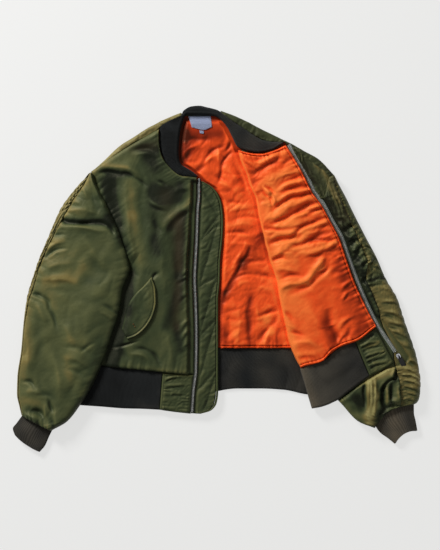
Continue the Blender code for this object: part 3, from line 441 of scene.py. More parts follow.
# Folds: start, end, how far the middle bows to the left of the line, half width, height (below
# zero for a crease) and lean (1: raised on the left of the line and sunk on its right).
FRONT_FOLDS = [
    (-276, 255, -226, 252, 3, 6, -5.5, 0.0),
    (-226, 252, -193, 240, 4, 6, -5.0, 0.0),
    (-193, 240, -166, 226, 2, 5, -3.5, 0.0),
    (-262, 268, -182, 252, 6, 12, 4.0, 0.0),
    (-244, 244, -226, 140, -6, 15, -5.0, 0.0),
    (-214, 232, -190, 20, -4, 17, 4.5, 0.0),
    (-186, 226, -168, 90, 0, 14, -3.0, 0.0),
    (-200, 309, -150, 305, 3, 7, -4.5, 0.0),
    (-196, 296, -146, 292, 3, 8, 2.5, 0.0),
    (-141, 235, -119, 223, 2, 5, -3.0, 0.5),
    (-156, 186, -126, 169, -3, 6, 4.0, 0.6),
    (-121, 116, -56, 182, 8, 11, 5.5, 0.5),
    (-150, 150, -124, 112, -6, 9, -3.5, 0.0),
    (-100, 205, -60, 215, 5, 8, 2.5, 0.3),
    (-104, 118, -95, -40, 3, 15, -4.0, 0.0),
    (-132, 90, -125, -30, 0, 15, 3.0, 0.0),
    (-74, 110, -70, -30, 0, 12, 2.5, 0.0),
    (-152, 8, -137, 22, 2, 4, -3.5, 0.0),
    (-84, 14, -56, 32, 2, 5, 3.0, 0.6),
    (-92, 0, -62, 14, 2, 5, 2.5, 0.6),
    (-88, -40, -60, -22, 2, 5, 2.2, 0.6),
    (-84, -114, -58, -86, 3, 6, 3.2, 0.6),
    (-80, -134, -56, -112, 3, 5, 2.6, 0.6),
    (-76, -158, -56, -140, 3, 5, 2.4, 0.6),
    (-100, -60, -96, -150, 2, 13, -3.0, 0.0),
    (-118, -110, -110, -190, 0, 12, 3.0, 0.0),
    (-184, -136, -252, -152, 4, 3, -4.0, 0.0),
    (-191, -155, -158, -163, 3, 5, -3.0, 0.0),
    (-158, -163, -136, -188, 4, 5, -4.5, 0.0),
    (-200, -166, -160, -184, 5, 8, 3.5, 0.0),
    (-232, -150, -206, -180, 0, 10, -3.5, 0.0),
    (-212, 20, -184, 6, 3, 6, -2.5, 0.4),
]
LINING_FOLDS = [
    (74, 84, 56, 49, 2, 6, -4.0, 0.3),
    (56, 49, 34, 12, 2, 7, -5.0, 0.3),
    (34, 12, 14, -40, -3, 8, -5.0, 0.3),
    (14, -40, 6, -80, 0, 7, -3.5, 0.0),
    (66, 98, 30, 30, 3, 10, 3.5, 0.0),
    (21, 115, 76, 115, 2, 5, -3.5, 0.4),
    (24, 132, 84, 136, 3, 11, 3.0, 0.0),
    (50, 47, 118, 46, 2, 7, -3.5, 0.3),
    (42, 9, 79, 21, 4, 5, -3.5, 0.3),
    (79, 21, 138, 2, 4, 6, -4.0, 0.3),
    (44, -8, 76, 0, 5, 14, 3.5, 0.0),
    (92, -10, 150, -30, 6, 14, 3.5, 0.0),
    (146, -58, 88, -82, 3, 6, -4.5, -0.3),
    (142, -72, 90, -146, 4, 8, -4.5, -0.3),
    (124, -104, 108, -154, 0, 7, 3.5, 0.0),
    (75, -38, 75, -148, -4, 7, -4.0, 0.0),
    (50, -50, 48, -146, 0, 13, 3.5, 0.0),
    (92, -48, 96, -96, 0, 9, 2.5, 0.0),
    (28, -70, 22, -140, 0, 8, -2.5, 0.0),
    (-62, 254, -28, 290, -6, 6, -5.0, 0.0),
    (-28, 290, 10, 322, 5, 6, -4.5, 0.0),
    (-2, 236, 12, 274, -3, 5, -4.5, 0.0),
    (12, 274, 30, 306, 2, 5, -4.0, 0.0),
    (-78, 306, -40, 326, 4, 9, 3.5, 0.0),
    (-44, 264, -8, 294, 4, 9, 4.0, 0.0),
    (-2, 318, 4, 284, 2, 7, 3.5, 0.0),
    (-84, 282, -60, 312, -4, 8, -3.0, 0.0),
    (32, 332, 16, 308, 2, 5, -3.5, 0.0),
    (-72, 346, -12, 334, -3, 6, -3.0, 0.0),
    (24, 262, 46, 236, 3, 9, 3.5, 0.0),
    (-12, 250, 30, 226, 3, 7, -3.5, 0.3),
    (6, 232, 58, 196, 5, 11, 3.5, 0.3),
    (38, 276, 64, 214, 4, 7, -3.5, 0.0),
    (20, 190, 62, 184, 2, 6, -3.0, 0.3),
    (24, 166, 88, 172, 4, 10, 3.0, 0.3),
    (30, 146, 92, 150, 3, 6, -2.5, 0.3),
    (20, 92, 96, 84, 4, 12, 3.0, 0.0),
]
OPEN_FOLDS = [
    (78, 288, 128, 296, -4, 7, -3.5, 0.0),
    (60, 284, 90, 262, 0, 5, 2.5, 0.6),
    (80, 238, 134, 276, 6, 10, -4.5, 0.0),
    (90, 262, 160, 292, 6, 11, 4.0, 0.3),
    (140, 216, 210, 243, 6, 6, -4.5, 0.3),
    (132, 236, 204, 258, 6, 9, 4.5, 0.4),
    (104, 216, 122, 196, 0, 5, 4.5, 0.8),
    (110, 218, 128, 204, 2, 4, -5.0, 0.5),
    (126, 200, 134, 176, 0, 5, 4.5, 0.8),
    (146, 196, 216, 220, 5, 6, -5.0, 0.3),
    (140, 208, 218, 232, 5, 8, 4.5, 0.4),
    (132, 164, 229, 203, 8, 6, -5.5, 0.3),
    (130, 178, 224, 213, 8, 8, 5.0, 0.4),
    (152, 136, 238, 181, 7, 6, -5.0, 0.3),
    (136, 148, 232, 190, 7, 9, 5.0, 0.4),
    (128, 132, 250, 165, 9, 6, -5.5, 0.3),
    (112, 142, 190, 152, 4, 9, 4.0, 0.4),
    (196, 150, 246, 172, 4, 6, 4.5, 0.5),
    (172, 98, 262, 145, 12, 6, -5.5, 0.3),
    (118, 112, 214, 134, 6, 11, 5.0, 0.4),
    (220, 122, 268, 138, 3, 7, 4.5, 0.5),
    (104, 120, 150, 114, 3, 6, -4.0, 0.4),
    (214, 84, 274, 116, 6, 7, -4.5, 0.3),
    (110, 78, 190, 98, 5, 6, -4.5, 0.3),
    (112, 94, 204, 112, 5, 10, 4.5, 0.4),
    (160, 68, 282, 95, 10, 6, -5.5, 0.3),
    (206, 60, 284, 98, -8, 8, 6.0, 0.5),
    (124, 56, 178, 66, 5, 9, 4.5, 0.3),
    (118, 44, 170, 52, 4, 6, -3.5, 0.3),
    (126, 22, 182, 24, 4, 10, 4.5, 0.3),
    (146, -24, 194, -8, 4, 10, 6.0, 0.3),
    (192, -8, 224, 22, -3, 9, 6.5, 0.3),
    (222, 18, 252, 60, -2, 7, 6.0, 0.4),
    (150, 6, 196, 12, 3, 6, -4.0, 0.3),
    (170, -34, 232, 4, -4, 8, -4.0, 0.3),
    (232, 4, 262, 44, -3, 7, -4.5, 0.3),
    (232, 20, 256, 34, 0, 5, 3.0, 0.5),
    (280, 50, 294, 56, 0, 5, 3.0, 0.5),
    (290, -42, 304, -28, 0, 4, 3.5, 0.5),
    (292, -18, 316, 2, 2, 6, 3.5, 0.5),
    (264, 14, 286, 24, 0, 7, -3.0, 0.3),
    (326, -40, 344, -30, 0, 5, 3.0, 0.6),
    (330, -56, 350, -44, 0, 5, -3.0, 0.3),
    (252, -62, 264, -102, 2, 13, -5.0, 0.0),
    (264, -102, 282, -150, 3, 11, -6.5, 0.0),
    (288, -112, 316, -82, 4, 7, 3.5, 0.4),
    (300, -136, 312, -108, 2, 5, -3.0, 0.3),
    (280, -150, 296, -122, 2, 5, 3.0, 0.5),
    (170, -146, 236, -150, 5, 16, 5.0, 0.0),
    (186, -176, 232, -176, 3, 7, 3.0, 0.4),
    (212, -56, 240, -112, 0, 18, 3.5, 0.0),
    (146, -70, 176, -92, 3, 6, -3.0, 0.3),
    (150, -96, 190, -116, 3, 9, 3.0, 0.3),
    (168, -118, 196, -128, 2, 5, -3.0, 0.3),
]
RIGHT_SLEEVE_FOLDS = [
    (-368, 150, -336, 137, -4, 6, -7.5, 0.0),
    (-336, 137, -284, 138, -2, 6, -8.0, 0.0),
    (-284, 138, -258, 133, 2, 6, -7.0, 0.0),
    (-258, 133, -240, 112, 3, 6, -6.0, 0.0),
    (-358, 134, -266, 122, -4, 9, 4.5, 0.0),
    (-352, 168, -276, 158, 5, 14, 5.0, 0.0),
    (-344, 192, -316, 178, 2, 8, 3.5, 0.3),
    (-318, 226, -300, 196, 0, 7, 3.5, 0.0),
    (-300, 218, -276, 176, 0, 9, -3.0, 0.0),
    (-398, 57, -353, 76, 3, 5, -4.5, 0.4),
    (-398, 70, -358, 92, 3, 7, 3.5, 0.4),
    (-384, 100, -352, 112, 2, 6, -3.0, 0.3),
    (-378, 122, -352, 128, 2, 6, 2.5, 0.3),
    (-404, 6, -330, -2, 4, 11, 5.0, 0.4),
    (-402, -18, -322, -24, 3, 10, -1.5, 0.0),
    (-400, 30, -340, 44, 4, 14, 3.5, 0.0),
    (-431, -27, -408, -36, 3, 5, -6.0, 0.0),
    (-408, -36, -392, -62, 3, 5, -6.0, 0.4),
    (-392, -62, -378, -104, 2, 5, -5.0, 0.4),
    (-418, -52, -400, -96, 2, 9, 4.0, 0.0),
    (-310, 96, -262, 30, 4, 16, 3.0, 0.0),
    (-296, 60, -252, 0, 0, 14, -2.5, 0.0),
    (-264, -56, -232, -76, 3, 5, -3.5, 0.3),
    (-268, -72, -238, -92, 3, 6, 3.0, 0.3),
    (-430, -78, -404, -226, 5, 17, -4.0, 0.0),
    (-446, -100, -440, -210, 0, 12, 3.0, 0.0),
    (-366, -90, -332, -150, 3, 20, 4.5, 0.0),
    (-352, -152, -300, -168, 4, 8, -3.0, 0.3),
    (-356, -176, -300, -196, 5, 12, 4.0, 0.3),
    (-318, -166, -288, -146, 2, 5, -2.5, 0.4),
    (-350, -206, -312, -222, 3, 8, -3.0, 0.3),
    (-380, -180, -366, -262, 3, 16, 3.5, 0.0),
    (-330, -220, -352, -292, 3, 14, -3.5, 0.0),
    (-454, -234, -424, -247, 3, 6, -5.5, 0.3),
    (-446, -258, -400, -262, 4, 10, 4.0, 0.0),
    (-434, -296, -404, -316, 4, 9, -9.0, 0.0),
    (-448, -306, -418, -326, 3, 7, 4.0, 0.0),
    (-396, -278, -380, -303, -2, 5, -6.0, 0.4),
    (-404, -284, -396, -322, 0, 6, 3.5, 0.0),
    (-376, -292, -372, -336, 0, 8, 3.5, 0.0),
    (-384, -316, -376, -344, 0, 5, -3.5, 0.0),
    (-420, -262, -384, -272, 3, 7, -3.5, 0.3),
]
LEFT_SLEEVE_FOLDS = [
    (262, 214, 286, 150, 2, 4, 2.8, 0.6),
    (270, 216, 296, 148, 2, 4, 2.8, 0.6),
    (280, 214, 306, 146, 2, 4, 2.8, 0.6),
    (290, 206, 316, 142, 2, 4, 2.8, 0.6),
    (274, 146, 300, 118, 2, 5, -3.0, 0.5),
    (288, 148, 318, 122, 2, 6, 3.0, 0.5),
    (286, 100, 342, 132, 6, 7, -5.0, 0.3),
    (300, 122, 338, 146, 3, 7, 4.0, 0.4),
    (310, 92, 338, 112, 4, 5, 4.0, 0.6),
    (314, 80, 350, 96, 3, 6, -5.0, 0.3),
    (322, 58, 344, 84, 4, 6, 4.5, 0.6),
    (330, 44, 352, 60, 3, 5, -5.0, 0.3),
    (338, 30, 362, 52, 4, 6, 4.5, 0.6),
    (300, 60, 330, 40, 3, 7, -3.5, 0.0),
    (344, 16, 374, 32, 4, 6, 4.0, 0.5),
    (334, -8, 396, 16, 5, 8, -7.5, 0.0),
    (347, -236, 347, -294, 0, 5, 6.0, 0.9),
    (357, -232, 359, -290, 0, 6, 6.5, 0.0),
    (359, -288, 345, -338, 2, 7, 4.5, 0.0),
    (369, -228, 369, -288, 0, 6, 5.0, 0.0),
    (369, -288, 361, -342, 2, 6, 4.5, 0.0),
    (414, -208, 408, -228, -2, 5, 5.0, 0.0),
    (408, -228, 380, -252, -3, 6, 5.0, 0.0),
    (419, -204, 417, -230, 0, 4, -7.0, 0.0),
    (417, -230, 394, -240, -3, 4, -7.0, 0.0),
    (394, -240, 388, -264, -2, 5, -8.5, 0.0),
    (388, -264, 394, -300, -3, 6, -9.5, 0.0),
    (394, -300, 372, -334, -4, 7, -8.0, 0.0),
    (398, -252, 398, -288, 2, 6, 5.5, 0.0),
    (398, -288, 426, -288, 8, 6, 5.0, 0.0),
    (420, -250, 428, -284, -2, 6, 5.0, 0.0),
    (407, -244, 406, -283, 0, 4, -6.5, 0.0),
    (432, -262, 434, -294, 0, 4, -5.0, 0.0),
    (394, -300, 434, -296, 6, 5, -5.0, 0.0),
    (438, -218, 420, -250, 3, 6, 4.0, 0.0),
    (300, -262, 330, -318, 3, 10, 2.5, 0.0),
    (318, -250, 340, -300, 3, 9, -2.5, 0.0),
]
# The same for the back panel of the left sleeve, which shows along its gathered seam.
LEFT_BACK_FOLDS = [
    (383, -52, 420, -55, 2, 5, 4.0, 0.4),
    (388, -73, 434, -91, 4, 5, 5.0, 0.4),
    (386, -84, 416, -98, 3, 4, -4.0, 0.3),
    (398, -98, 441, -113, 4, 5, 5.0, 0.4),
    (398, -109, 424, -124, 3, 4, -4.0, 0.3),
    (406, -120, 443, -137, 4, 5, 4.5, 0.4),
    (408, -134, 436, -150, 3, 5, -3.5, 0.3),
    (424, -150, 452, -160, 3, 6, 3.5, 0.4),
    (442, -184, 471, -200, 2, 4, 5.5, 0.3),
    (440, -194, 466, -209, 2, 5, -4.0, 0.3),
    (429, -208, 474, -225, 5, 4, 4.5, 0.3),
    (431, -220, 474, -237, 5, 4, 4.5, 0.3),
    (431, -234, 477, -251, 5, 4, 4.5, 0.3),
    (434, -248, 477, -263, 5, 4, 4.5, 0.3),
    (434, -263, 474, -275, 4, 4, 4.0, 0.3),
    (436, -277, 465, -283, 3, 4, 3.5, 0.3),
    (386, -20, 416, -34, 3, 6, 3.5, 0.3),
    (380, 2, 402, -4, 3, 6, -4.5, 0.0),
    (366, 36, 386, 24, 2, 5, 3.5, 0.4),
    (356, 62, 376, 46, 2, 5, 3.5, 0.4),
    (346, 86, 362, 70, 2, 5, 3.0, 0.4),
]
PANEL_FOLDS = [
    (-122, -236, -86, -228, 2, 4, 2.5, 0.5),
    (-120, -252, -76, -246, 2, 4, 2.0, 0.5),
    (-110, -270, -80, -268, 2, 5, 1.6, 0.5),
    (332, -160, 372, -144, 3, 4, 3.5, 0.5),
    (336, -172, 384, -156, 3, 4, -3.0, 0.4),
    (342, -184, 388, -168, 3, 4, 3.0, 0.5),
    (346, -200, 392, -184, 3, 4, -2.6, 0.4),
    (352, -206, 396, -192, 3, 4, 2.6, 0.5),
    (350, -142, 378, -130, 3, 4, -2.6, 0.4),
]

# Stitched zigzag of the storm flap, from its top to the hem.
QUILTING = [
    (-38, 218), (2, 150), (-36, 96), (0, 127), (-42, -16), (0, 9), (-44, -134),
    (-2, -92), (-50, -261), (0, -211), (-30, -300),
]

# Swatches, linear red, green and blue. The nylon, lining and rib swatches each run from painted
# shade to painted highlight: GREEN_DEEP to STRAW, ORANGE_DARK to ORANGE_BRIGHT, RIB_DARK to
# RIB_PALE.
GREEN_DEEP = (0.0050, 0.0090, 0.0056)
GREEN = (0.037, 0.051, 0.0215)
OLIVE = (0.088, 0.096, 0.036)
GOLD = (0.180, 0.140, 0.044)
STRAW = (0.32, 0.28, 0.105)
BROWN = (0.040, 0.027, 0.0125)
ORANGE_DARK = (0.070, 0.007, 0.003)
ORANGE_DEEP = (0.36, 0.027, 0.006)
ORANGE = (0.93, 0.092, 0.016)
ORANGE_BRIGHT = (1.0, 0.215, 0.042)
RIB_DARK = (0.0060, 0.0068, 0.0066)
RIB_COOL = (0.0135, 0.0150, 0.0150)
RIB_WARM = (0.075, 0.066, 0.050)
RIB_PALE = (0.150, 0.122, 0.082)
BINDING_ORANGE = (0.98, 0.085, 0.012)
BINDING_GREEN = (0.050, 0.075, 0.026)

SEAM_LAP = 1.0          # seam edges overlap by this in the look
GROOVE = 0.4            # the groove along the gathered sleeve seams
ZIP_BAND = 9.0          # flat stitched band of the right front beside its zip
ZIP_BAND_TOP = 17.2
NECK_CORNER = 236       # height on the plan of the band's upper end
FRONT_PUFF = 8.0        # mean puff of the right front over its plain solid
ROLL = 3.5              # how far the open front's fold edge rounds over
ROLL_OUT = 1.5          # how far it reaches past the plan's fold edge
ROLL_POINTS = 10
CUFF_TUCK = 5.0         # how far a cuff reaches into its sleeve
UNDER_ZIP = 3.4         # how far the storm flap reaches under the zip's middle line
POCKET_THICK = 4.6      # height of the pocket flap over the front
RIB = 2.9               # pitch of the knit ribs
CUFF_RIBS = 54          # ribs round a cuff
CUFF_ROWS = 24          # rows of points along it
CUFF_MIDDLE = 7.4       # height of its middle above the floor
TOOTH_PITCH = 2.7
TOOTH_OUTLINE = [
    (-0.55, -2.1), (0.55, -2.1), (0.62, 0.4), (0.95, 1.5),
    (0.45, 2.2), (-0.45, 2.2), (-0.95, 1.5), (-0.62, 0.4),
]
TOOTH_LEVELS = ((0.0, 1.0), (1.5, 1.0), (2.1, 0.72))    # height, size
POCKET_MIDDLE = (-180.0, -70.0)
POCKET_SHAPE = np.array((1.0, 1.35))    # the plain stretch round the pocket is taller than wide

# A fold's shade shows on its far side from the light, so the folds lie this much further on.
FRONT_SHIFT = (2.0, -5.0)
WINDOW_SHIFT = (2.0, -7.0)
OPEN_SHIFT = (1.0, -3.0)
SLEEVE_SHIFT = (1.0, -4.5)

# Soft painted light and shade: start, end, half width and strength. On nylon a third is one swatch
# paler.
FRONT_SHADES = [
    (-202, 232, -196, 150, 14, 0.36),
    (-196, 150, -178, 44, 14, 0.34),
    (-252, 240, -244, 130, 19, -0.62),
    (-242, 130, -218, 66, 14, -0.62),
    (-250, 250, -206, 242, 9, -0.36),
    (-262, 270, -196, 284, 15, 0.22),
    (-204, 18, -212, -40, 15, -0.56),
    (-212, -40, -228, -110, 17, -0.62),
    (-228, -110, -246, -196, 19, -0.62),
    (-170, 306, -142, 302, 13, -0.46),
    (-158, 280, -144, 262, 18, -0.36),
    (-176, 312, -130, 326, 12, -0.12),
    (-140, 214, -96, 208, 19, -0.40),
    (-130, 180, -92, 190, 14, -0.40),
    (-110, 122, -76, 154, 9, -0.30),
    (-284, 252, -262, 246, 11, 0.30),
    (-262, 266, -210, 262, 7, 0.30),
    (-120, 278, -100, 262, 9, -0.25),
    (-86, 226, -80, 210, 11, -0.26),
    (-150, 190, -148, 140, 20, -0.22),
    (-108, 148, -66, 184, 8, 0.22),
    (-146, 100, -140, 68, 16, -0.36),
    (-84, 150, -86, 10, 14, -0.50),
    (-82, -5, -90, -40, 12, -0.42),
    (-90, -40, -122, -108, 12, -0.32),
    (-92, -110, -84, -162, 11, -0.28),
    (-130, -80, -128, -160, 16, 0.08),
    (-150, -20, -150, -60, 8, 0.10),
    (-62, 220, -64, -200, 6, 0.12),
    (-136, -212, -66, -219, 6, 0.30),
    (-214, -205, -136, -212, 6, 0.15),
    (-71, 200, -70, -60, 6, 0.08),
    (-200, 196, -190, 120, 16, 0.10),
    (-166, 226, -150, 190, 8, -0.14),
    (-238, 160, -226, 110, 10, -0.10),
    (-206, -20, -222, -100, 12, -0.36),
    (-222, -100, -240, -176, 12, -0.36),
]
FRONT_BROWN = [
    (-90, 150, -90, 30, 14, 0.55),
    (-92, -10, -94, -110, 12, 0.45),
    (-120, 200, -112, 140, 18, 0.25),
    (-196, 306, -110, 326, 13, 0.35),
]
WINDOW_SHADES = [
    (-84, 376, 20, 374, 22, -0.36),
    (-82, 345, -78, 288, 17, -0.42),
    (-66, 340, 6, 340, 12, -0.34),
    (-76, 368, -72, 330, 10, -0.26),
    (-60, 312, 30, 312, 26, -0.14),
    (-70, 300, -58, 322, 12, -0.10),
    (16, 180, 16, 96, 8, 0.14),
    (28, 206, 34, 190, 12, -0.12),
    (112, -90, 130, -122, 13, 0.30),
    (8, -84, 36, -128, 14, 0.14),
    (18, -112, 28, -150, 12, -0.24),
    (-6, 312, 6, 286, 10, 0.10),
    (40, 340, 48, 300, 13, -0.14),
    (104, 102, 62, 36, 12, -0.30),
    (62, 36, 22, -36, 12, -0.32),
    (14, -30, 12, -150, 9, -0.28),
    (78, -40, 78, -152, 9, -0.28),
    (140, -110, 138, -150, 12, -0.18),
    (88, 190, 112, 80, 10, -0.20),
    (112, 70, 128, 40, 10, -0.14),
    (44, 176, 78, 150, 24, 0.12),
    (24, 210, 40, 196, 20, 0.08),
    (40, 20, 60, -10, 14, 0.10),
    (50, -80, 50, -130, 13, 0.05),
    (108, -30, 118, -80, 16, 0.06),
]
OPEN_SHADES = [
    (150, 236, 190, 250, 16, 0.12),
    (120, 214, 130, 180, 26, 0.20),
    (66, 290, 128, 60, 13, -0.08),
    (136, -4, 158, -104, 11, 0.16),
    (150, 240, 186, 90, 40, 0.08),
    (286, 30, 300, -20, 17, -0.16),
    (300, -50, 330, -110, 22, -0.16),
    (120, 150, 170, 130, 22, 0.14),
    (120, 96, 190, 86, 22, 0.14),
    (130, 60, 170, 40, 26, 0.16),
    (136, -10, 170, -50, 26, 0.16),
    (196, -60, 216, -120, 22, 0.08),
    (160, -20, 210, -6, 8, 0.34),
    (210, -6, 244, 36, 8, 0.34),
    (222, 86, 272, 112, 9, -0.20),
    (228, 72, 282, 88, 6, 0.26),
    (204, 110, 250, 140, 7, 0.20),
    (284, 74, 298, 4, 15, -0.24),
    (320, -10, 346, -104, 19, -0.26),
    (250, -100, 272, -160, 12, -0.40),
    (276, -132, 330, -124, 11, -0.18),
    (170, -116, 188, -186, 9, 0.26),
    (86, 230, 138, 268, 8, -0.16),
    (204, -160, 236, -162, 12, 0.14),
]
RIGHT_SLEEVE_SHADES = [
    (-384, 58, -320, 62, 28, 0.20),
    (-376, -2, -310, 24, 20, 0.30),
    (-396, -10, -384, -60, 20, 0.20),
    (-356, -140, -322, -140, 20, 0.20),
    (-352, -184, -338, -236, 15, 0.30),
    (-356, 160, -310, 152, 10, 0.20),
    (-302, 228, -296, 200, 12, 0.24),
    (-400, 78, -358, 94, 8, 0.22),
    (-276, -28, -246, -36, 14, 0.16),
    (-436, -70, -440, -180, 15, 0.28),
    (-452, -180, -450, -230, 12, 0.26),
    (-446, -282, -414, -284, 15, 0.32),
    (-350, 138, -252, 134, 9, -0.55),
    (-398, 58, -364, 66, 6, -0.12),
    (-304, 0, -276, -2, 10, -0.12),
    (-284, 196, -262, 150, 13, -0.22),
    (-248, 146, -226, 92, 13, -0.40),
    (-270, -150, -290, -240, 14, -0.24),
    (-300, -250, -318, -290, 18, -0.16),
    (-380, -330, -366, -334, 16, -0.16),
    (-256, -166, -314, -266, 7, 0.26),
    (-400, -2, -330, -4, 10, 0.20),
    (-364, -40, -336, -60, 18, 0.12),
    (-446, -316, -420, -330, 10, -0.30),
]
LEFT_SLEEVE_SHADES = [
    (262, 222, 284, 184, 9, 0.44),
    (246, 214, 264, 172, 9, -0.45),
    (262, 170, 304, 92, 15, -0.50),
    (304, 92, 336, 10, 13, -0.42),
    (344, -10, 366, -80, 10, -0.45),
    (286, 196, 282, 176, 9, 0.16),
    (310, 160, 322, 130, 12, -0.18),
    (334, 48, 336, 34, 10, -0.26),
    (320, 128, 346, 84, 10, 0.44),
    (344, 80, 360, 34, 11, 0.44),
    (350, 6, 396, 12, 12, -0.60),
    (356, -236, 366, -270, 12, 0.80),
    (366, -270, 356, -330, 12, 0.84),
    (376, -222, 414, -206, 9, 0.66),
    (306, -256, 328, -284, 16, -0.42),
    (343, -246, 341, -290, 4, -0.40),
    (310, -306, 338, -316, 12, 0.22),
    (404, -288, 392, -312, 8, -0.30),
    (404, -232, 388, -250, 6, 0.30),
    (397, -256, 397, -286, 5, 0.24),
    (400, -292, 428, -290, 5, 0.30),
    (424, -256, 430, -284, 6, 0.26),
    (417, -206, 416, -230, 4, -0.50),
    (414, -234, 394, -240, 4, -0.50),
    (390, -246, 386, -296, 5, -0.50),
    (406, -246, 406, -280, 4, -0.50),
]
LEFT_BACK_SHADES = [
    (392, -30, 420, -90, 26, 0.20),
    (442, -214, 464, -232, 18, 0.36),
    (466, -200, 474, -240, 12, 0.30),
    (300, 196, 330, 146, 14, -0.10),
    (336, 132, 384, 30, 16, -0.16),
    (350, -6, 396, 12, 9, -0.62),
    (440, -96, 458, -150, 8, -0.18),
]
LEFT_SLEEVE_BROWN = [
    (276, 226, 304, 150, 26, 0.50),
]
PANEL_SHADES = [
    (338, -136, 372, -118, 10, -0.30),
    (346, -160, 374, -146, 7, 0.40),
    (356, -184, 388, -168, 8, 0.16),
    (366, -210, 404, -190, 7, 0.30),
    (340, -160, 360, -204, 5, -0.20),
    (-110, -232, -80, -232, 12, 0.08),
]
CUFF_SHADES = [
    (408, -308, 418, -332, 13, 0.26),
    (404, -342, 418, -370, 14, 0.30),
    (446, -318, 456, -344, 12, -0.30),
    (394, -336, 400, -352, 8, -0.20),
    (-452, -338, -430, -372, 14, 0.12),
]
SHOULDER_SHADES = [
    (234, 268, 262, 234, 9, 0.50),
    (202, 268, 230, 220, 10, -0.30),
    (216, 292, 240, 280, 8, 0.20),
]
COLLAR_SHADES = [
    (-116, 366, -104, 354, 9, 0.44),
    (-108, 330, -100, 280, 16, -0.16),
    (-92, 264, -70, 252, 9, 0.10),
]
POCKET_SHADES = [
    (-148, -12, -150, -60, 10, 0.26),
    (-160, -90, -186, -126, 9, 0.14),
    (-196, -30, -208, -70, 13, -0.34),
    (-208, -70, -218, -126, 13, -0.40),
]
POCKET_FOLDS = [
    (-166, -12, -158, -60, 3, 10, 1.6, 0.0),
    (-190, -40, -176, -90, 0, 9, -1.2, 0.0),
    (-208, -84, -196, -124, 0, 8, 1.2, 0.0),
]

CAMERA_HEIGHT = 3.0
SEEN_HEIGHT = 1.2925                # what the picture shows from top to bottom, m
CAMERA_OVER = (0.00705, 0.01175)    # middle of the picture, m


def rows_at(table, shares):
    """Smooth rows of a table at shares of the way along it, never past a row's own values."""
    table = np.array(table, float)
    steps = np.hypot(np.diff(table[:, 0]), np.diff(table[:, 1]))
    far = np.hypot(np.diff(table[:, -2]), np.diff(table[:, -1])) if table.shape[1] == 4 else steps
    at = np.concatenate([[0.0], np.cumsum(np.maximum(0.5 * (steps + far), 1.0))])
    rate = np.diff(table, axis=0) / np.diff(at)[:, None]
    before, after = rate[:-1], rate[1:]
    same_way = before * after > 0
    total = np.where(same_way, before + after, 1.0)
    inner = np.where(same_way, 2 * before * after / total, 0.0)
    slope = np.vstack([rate[:1], inner, rate[-1:]])
    wanted = np.asarray(shares, float) * at[-1]
    k = np.clip(np.searchsorted(at, wanted, side="right") - 1, 0, len(at) - 2)
    span = at[k + 1] - at[k]
    t = ((wanted - at[k]) / span)[:, None]
    span = span[:, None]
    return (
        (2 * t**3 - 3 * t**2 + 1) * table[k]
        + (t**3 - 2 * t**2 + t) * span * slope[k]
        + (3 * t**2 - 2 * t**3) * table[k + 1]
        + (t**3 - t**2) * span * slope[k + 1]
    )


def even_rows(table, count):
    """The table's rows resampled at even distances."""
    return rows_at(table, np.linspace(0.0, 1.0, count))


def spread(count, ends=0.55):
    """Fractions from 0 to 1, drawn closer together at both ends."""
    plain = np.linspace(0.0, 1.0, count)
    return (1 - ends) * plain + ends * 0.5 * (1 - np.cos(math.pi * plain))


def ease(value):
    """Smooth step from 0 to 1."""
    value = np.clip(value, 0.0, 1.0)
    return value * value * (3 - 2 * value)


def bell(distance, middle, width):
    """1 at the middle of a soft band, fading out over its width."""
    return np.exp(-(((distance - middle) / width) ** 2))


def across(rows, fractions):
    """Plan points on each row at the given fractions from its start to its end."""
    start, end = rows[:, None, 0:2], rows[:, None, -2:]
    fractions = np.broadcast_to(fractions, (len(rows), np.shape(fractions)[-1]))[..., None]
    return start + (end - start) * fractions


def row_runs(rows):
    """Length of each row and the unit vector from its start to its end."""
    run = rows[:, -2:] - rows[:, :2]
    wide = np.linalg.norm(run, axis=1)
    return wide, run / wide[:, None]


def line_frame(line):
    """Unit run and left normal at each point of a line."""
    run = np.gradient(line, axis=0)
    run /= np.linalg.norm(run, axis=1, keepdims=True)
    return run, np.stack([-run[:, 1], run[:, 0]], axis=1)


def inset(rows, start, end):
    """Rows cut short by the given lengths at their two ends."""
    rows = rows.copy()
    along = rows[:, -2:] - rows[:, 0:2]
    along /= np.maximum(np.linalg.norm(along, axis=1, keepdims=True), 0.001)
    rows[:, 0:2] += along * start
    rows[:, -2:] -= along * end
    return rows


def lapped(rows, start=2.0, end=0.0, sides=1.2):
    """Rows made a little longer and wider, to reach under their neighbours."""
    rows = inset(rows, -start, -end)
    for here, inner in ((0, 4), (-1, -5)):
        away = rows[here] - rows[inner]
        size = max(0.5 * (np.linalg.norm(away[:2]) + np.linalg.norm(away[2:])), 0.1)
        rows[here] += away / size * sides
    return rows


def bowed(points, fractions, shift, last=False):
    """Bend the first or last row of a grid by a shift that fades out along the piece."""
    middle = np.sin(math.pi * np.broadcast_to(fractions, points.shape[:-1]))
    steps = np.linalg.norm(np.diff(points.mean(axis=1), axis=0), axis=1)
    away = np.concatenate([[0.0], np.cumsum(steps)])
    away = away[-1] - away if last else away
    fade = np.exp(-away / BOW_FADE)[:, None]
    return points + np.array(shift) * (middle * fade)[..., None]


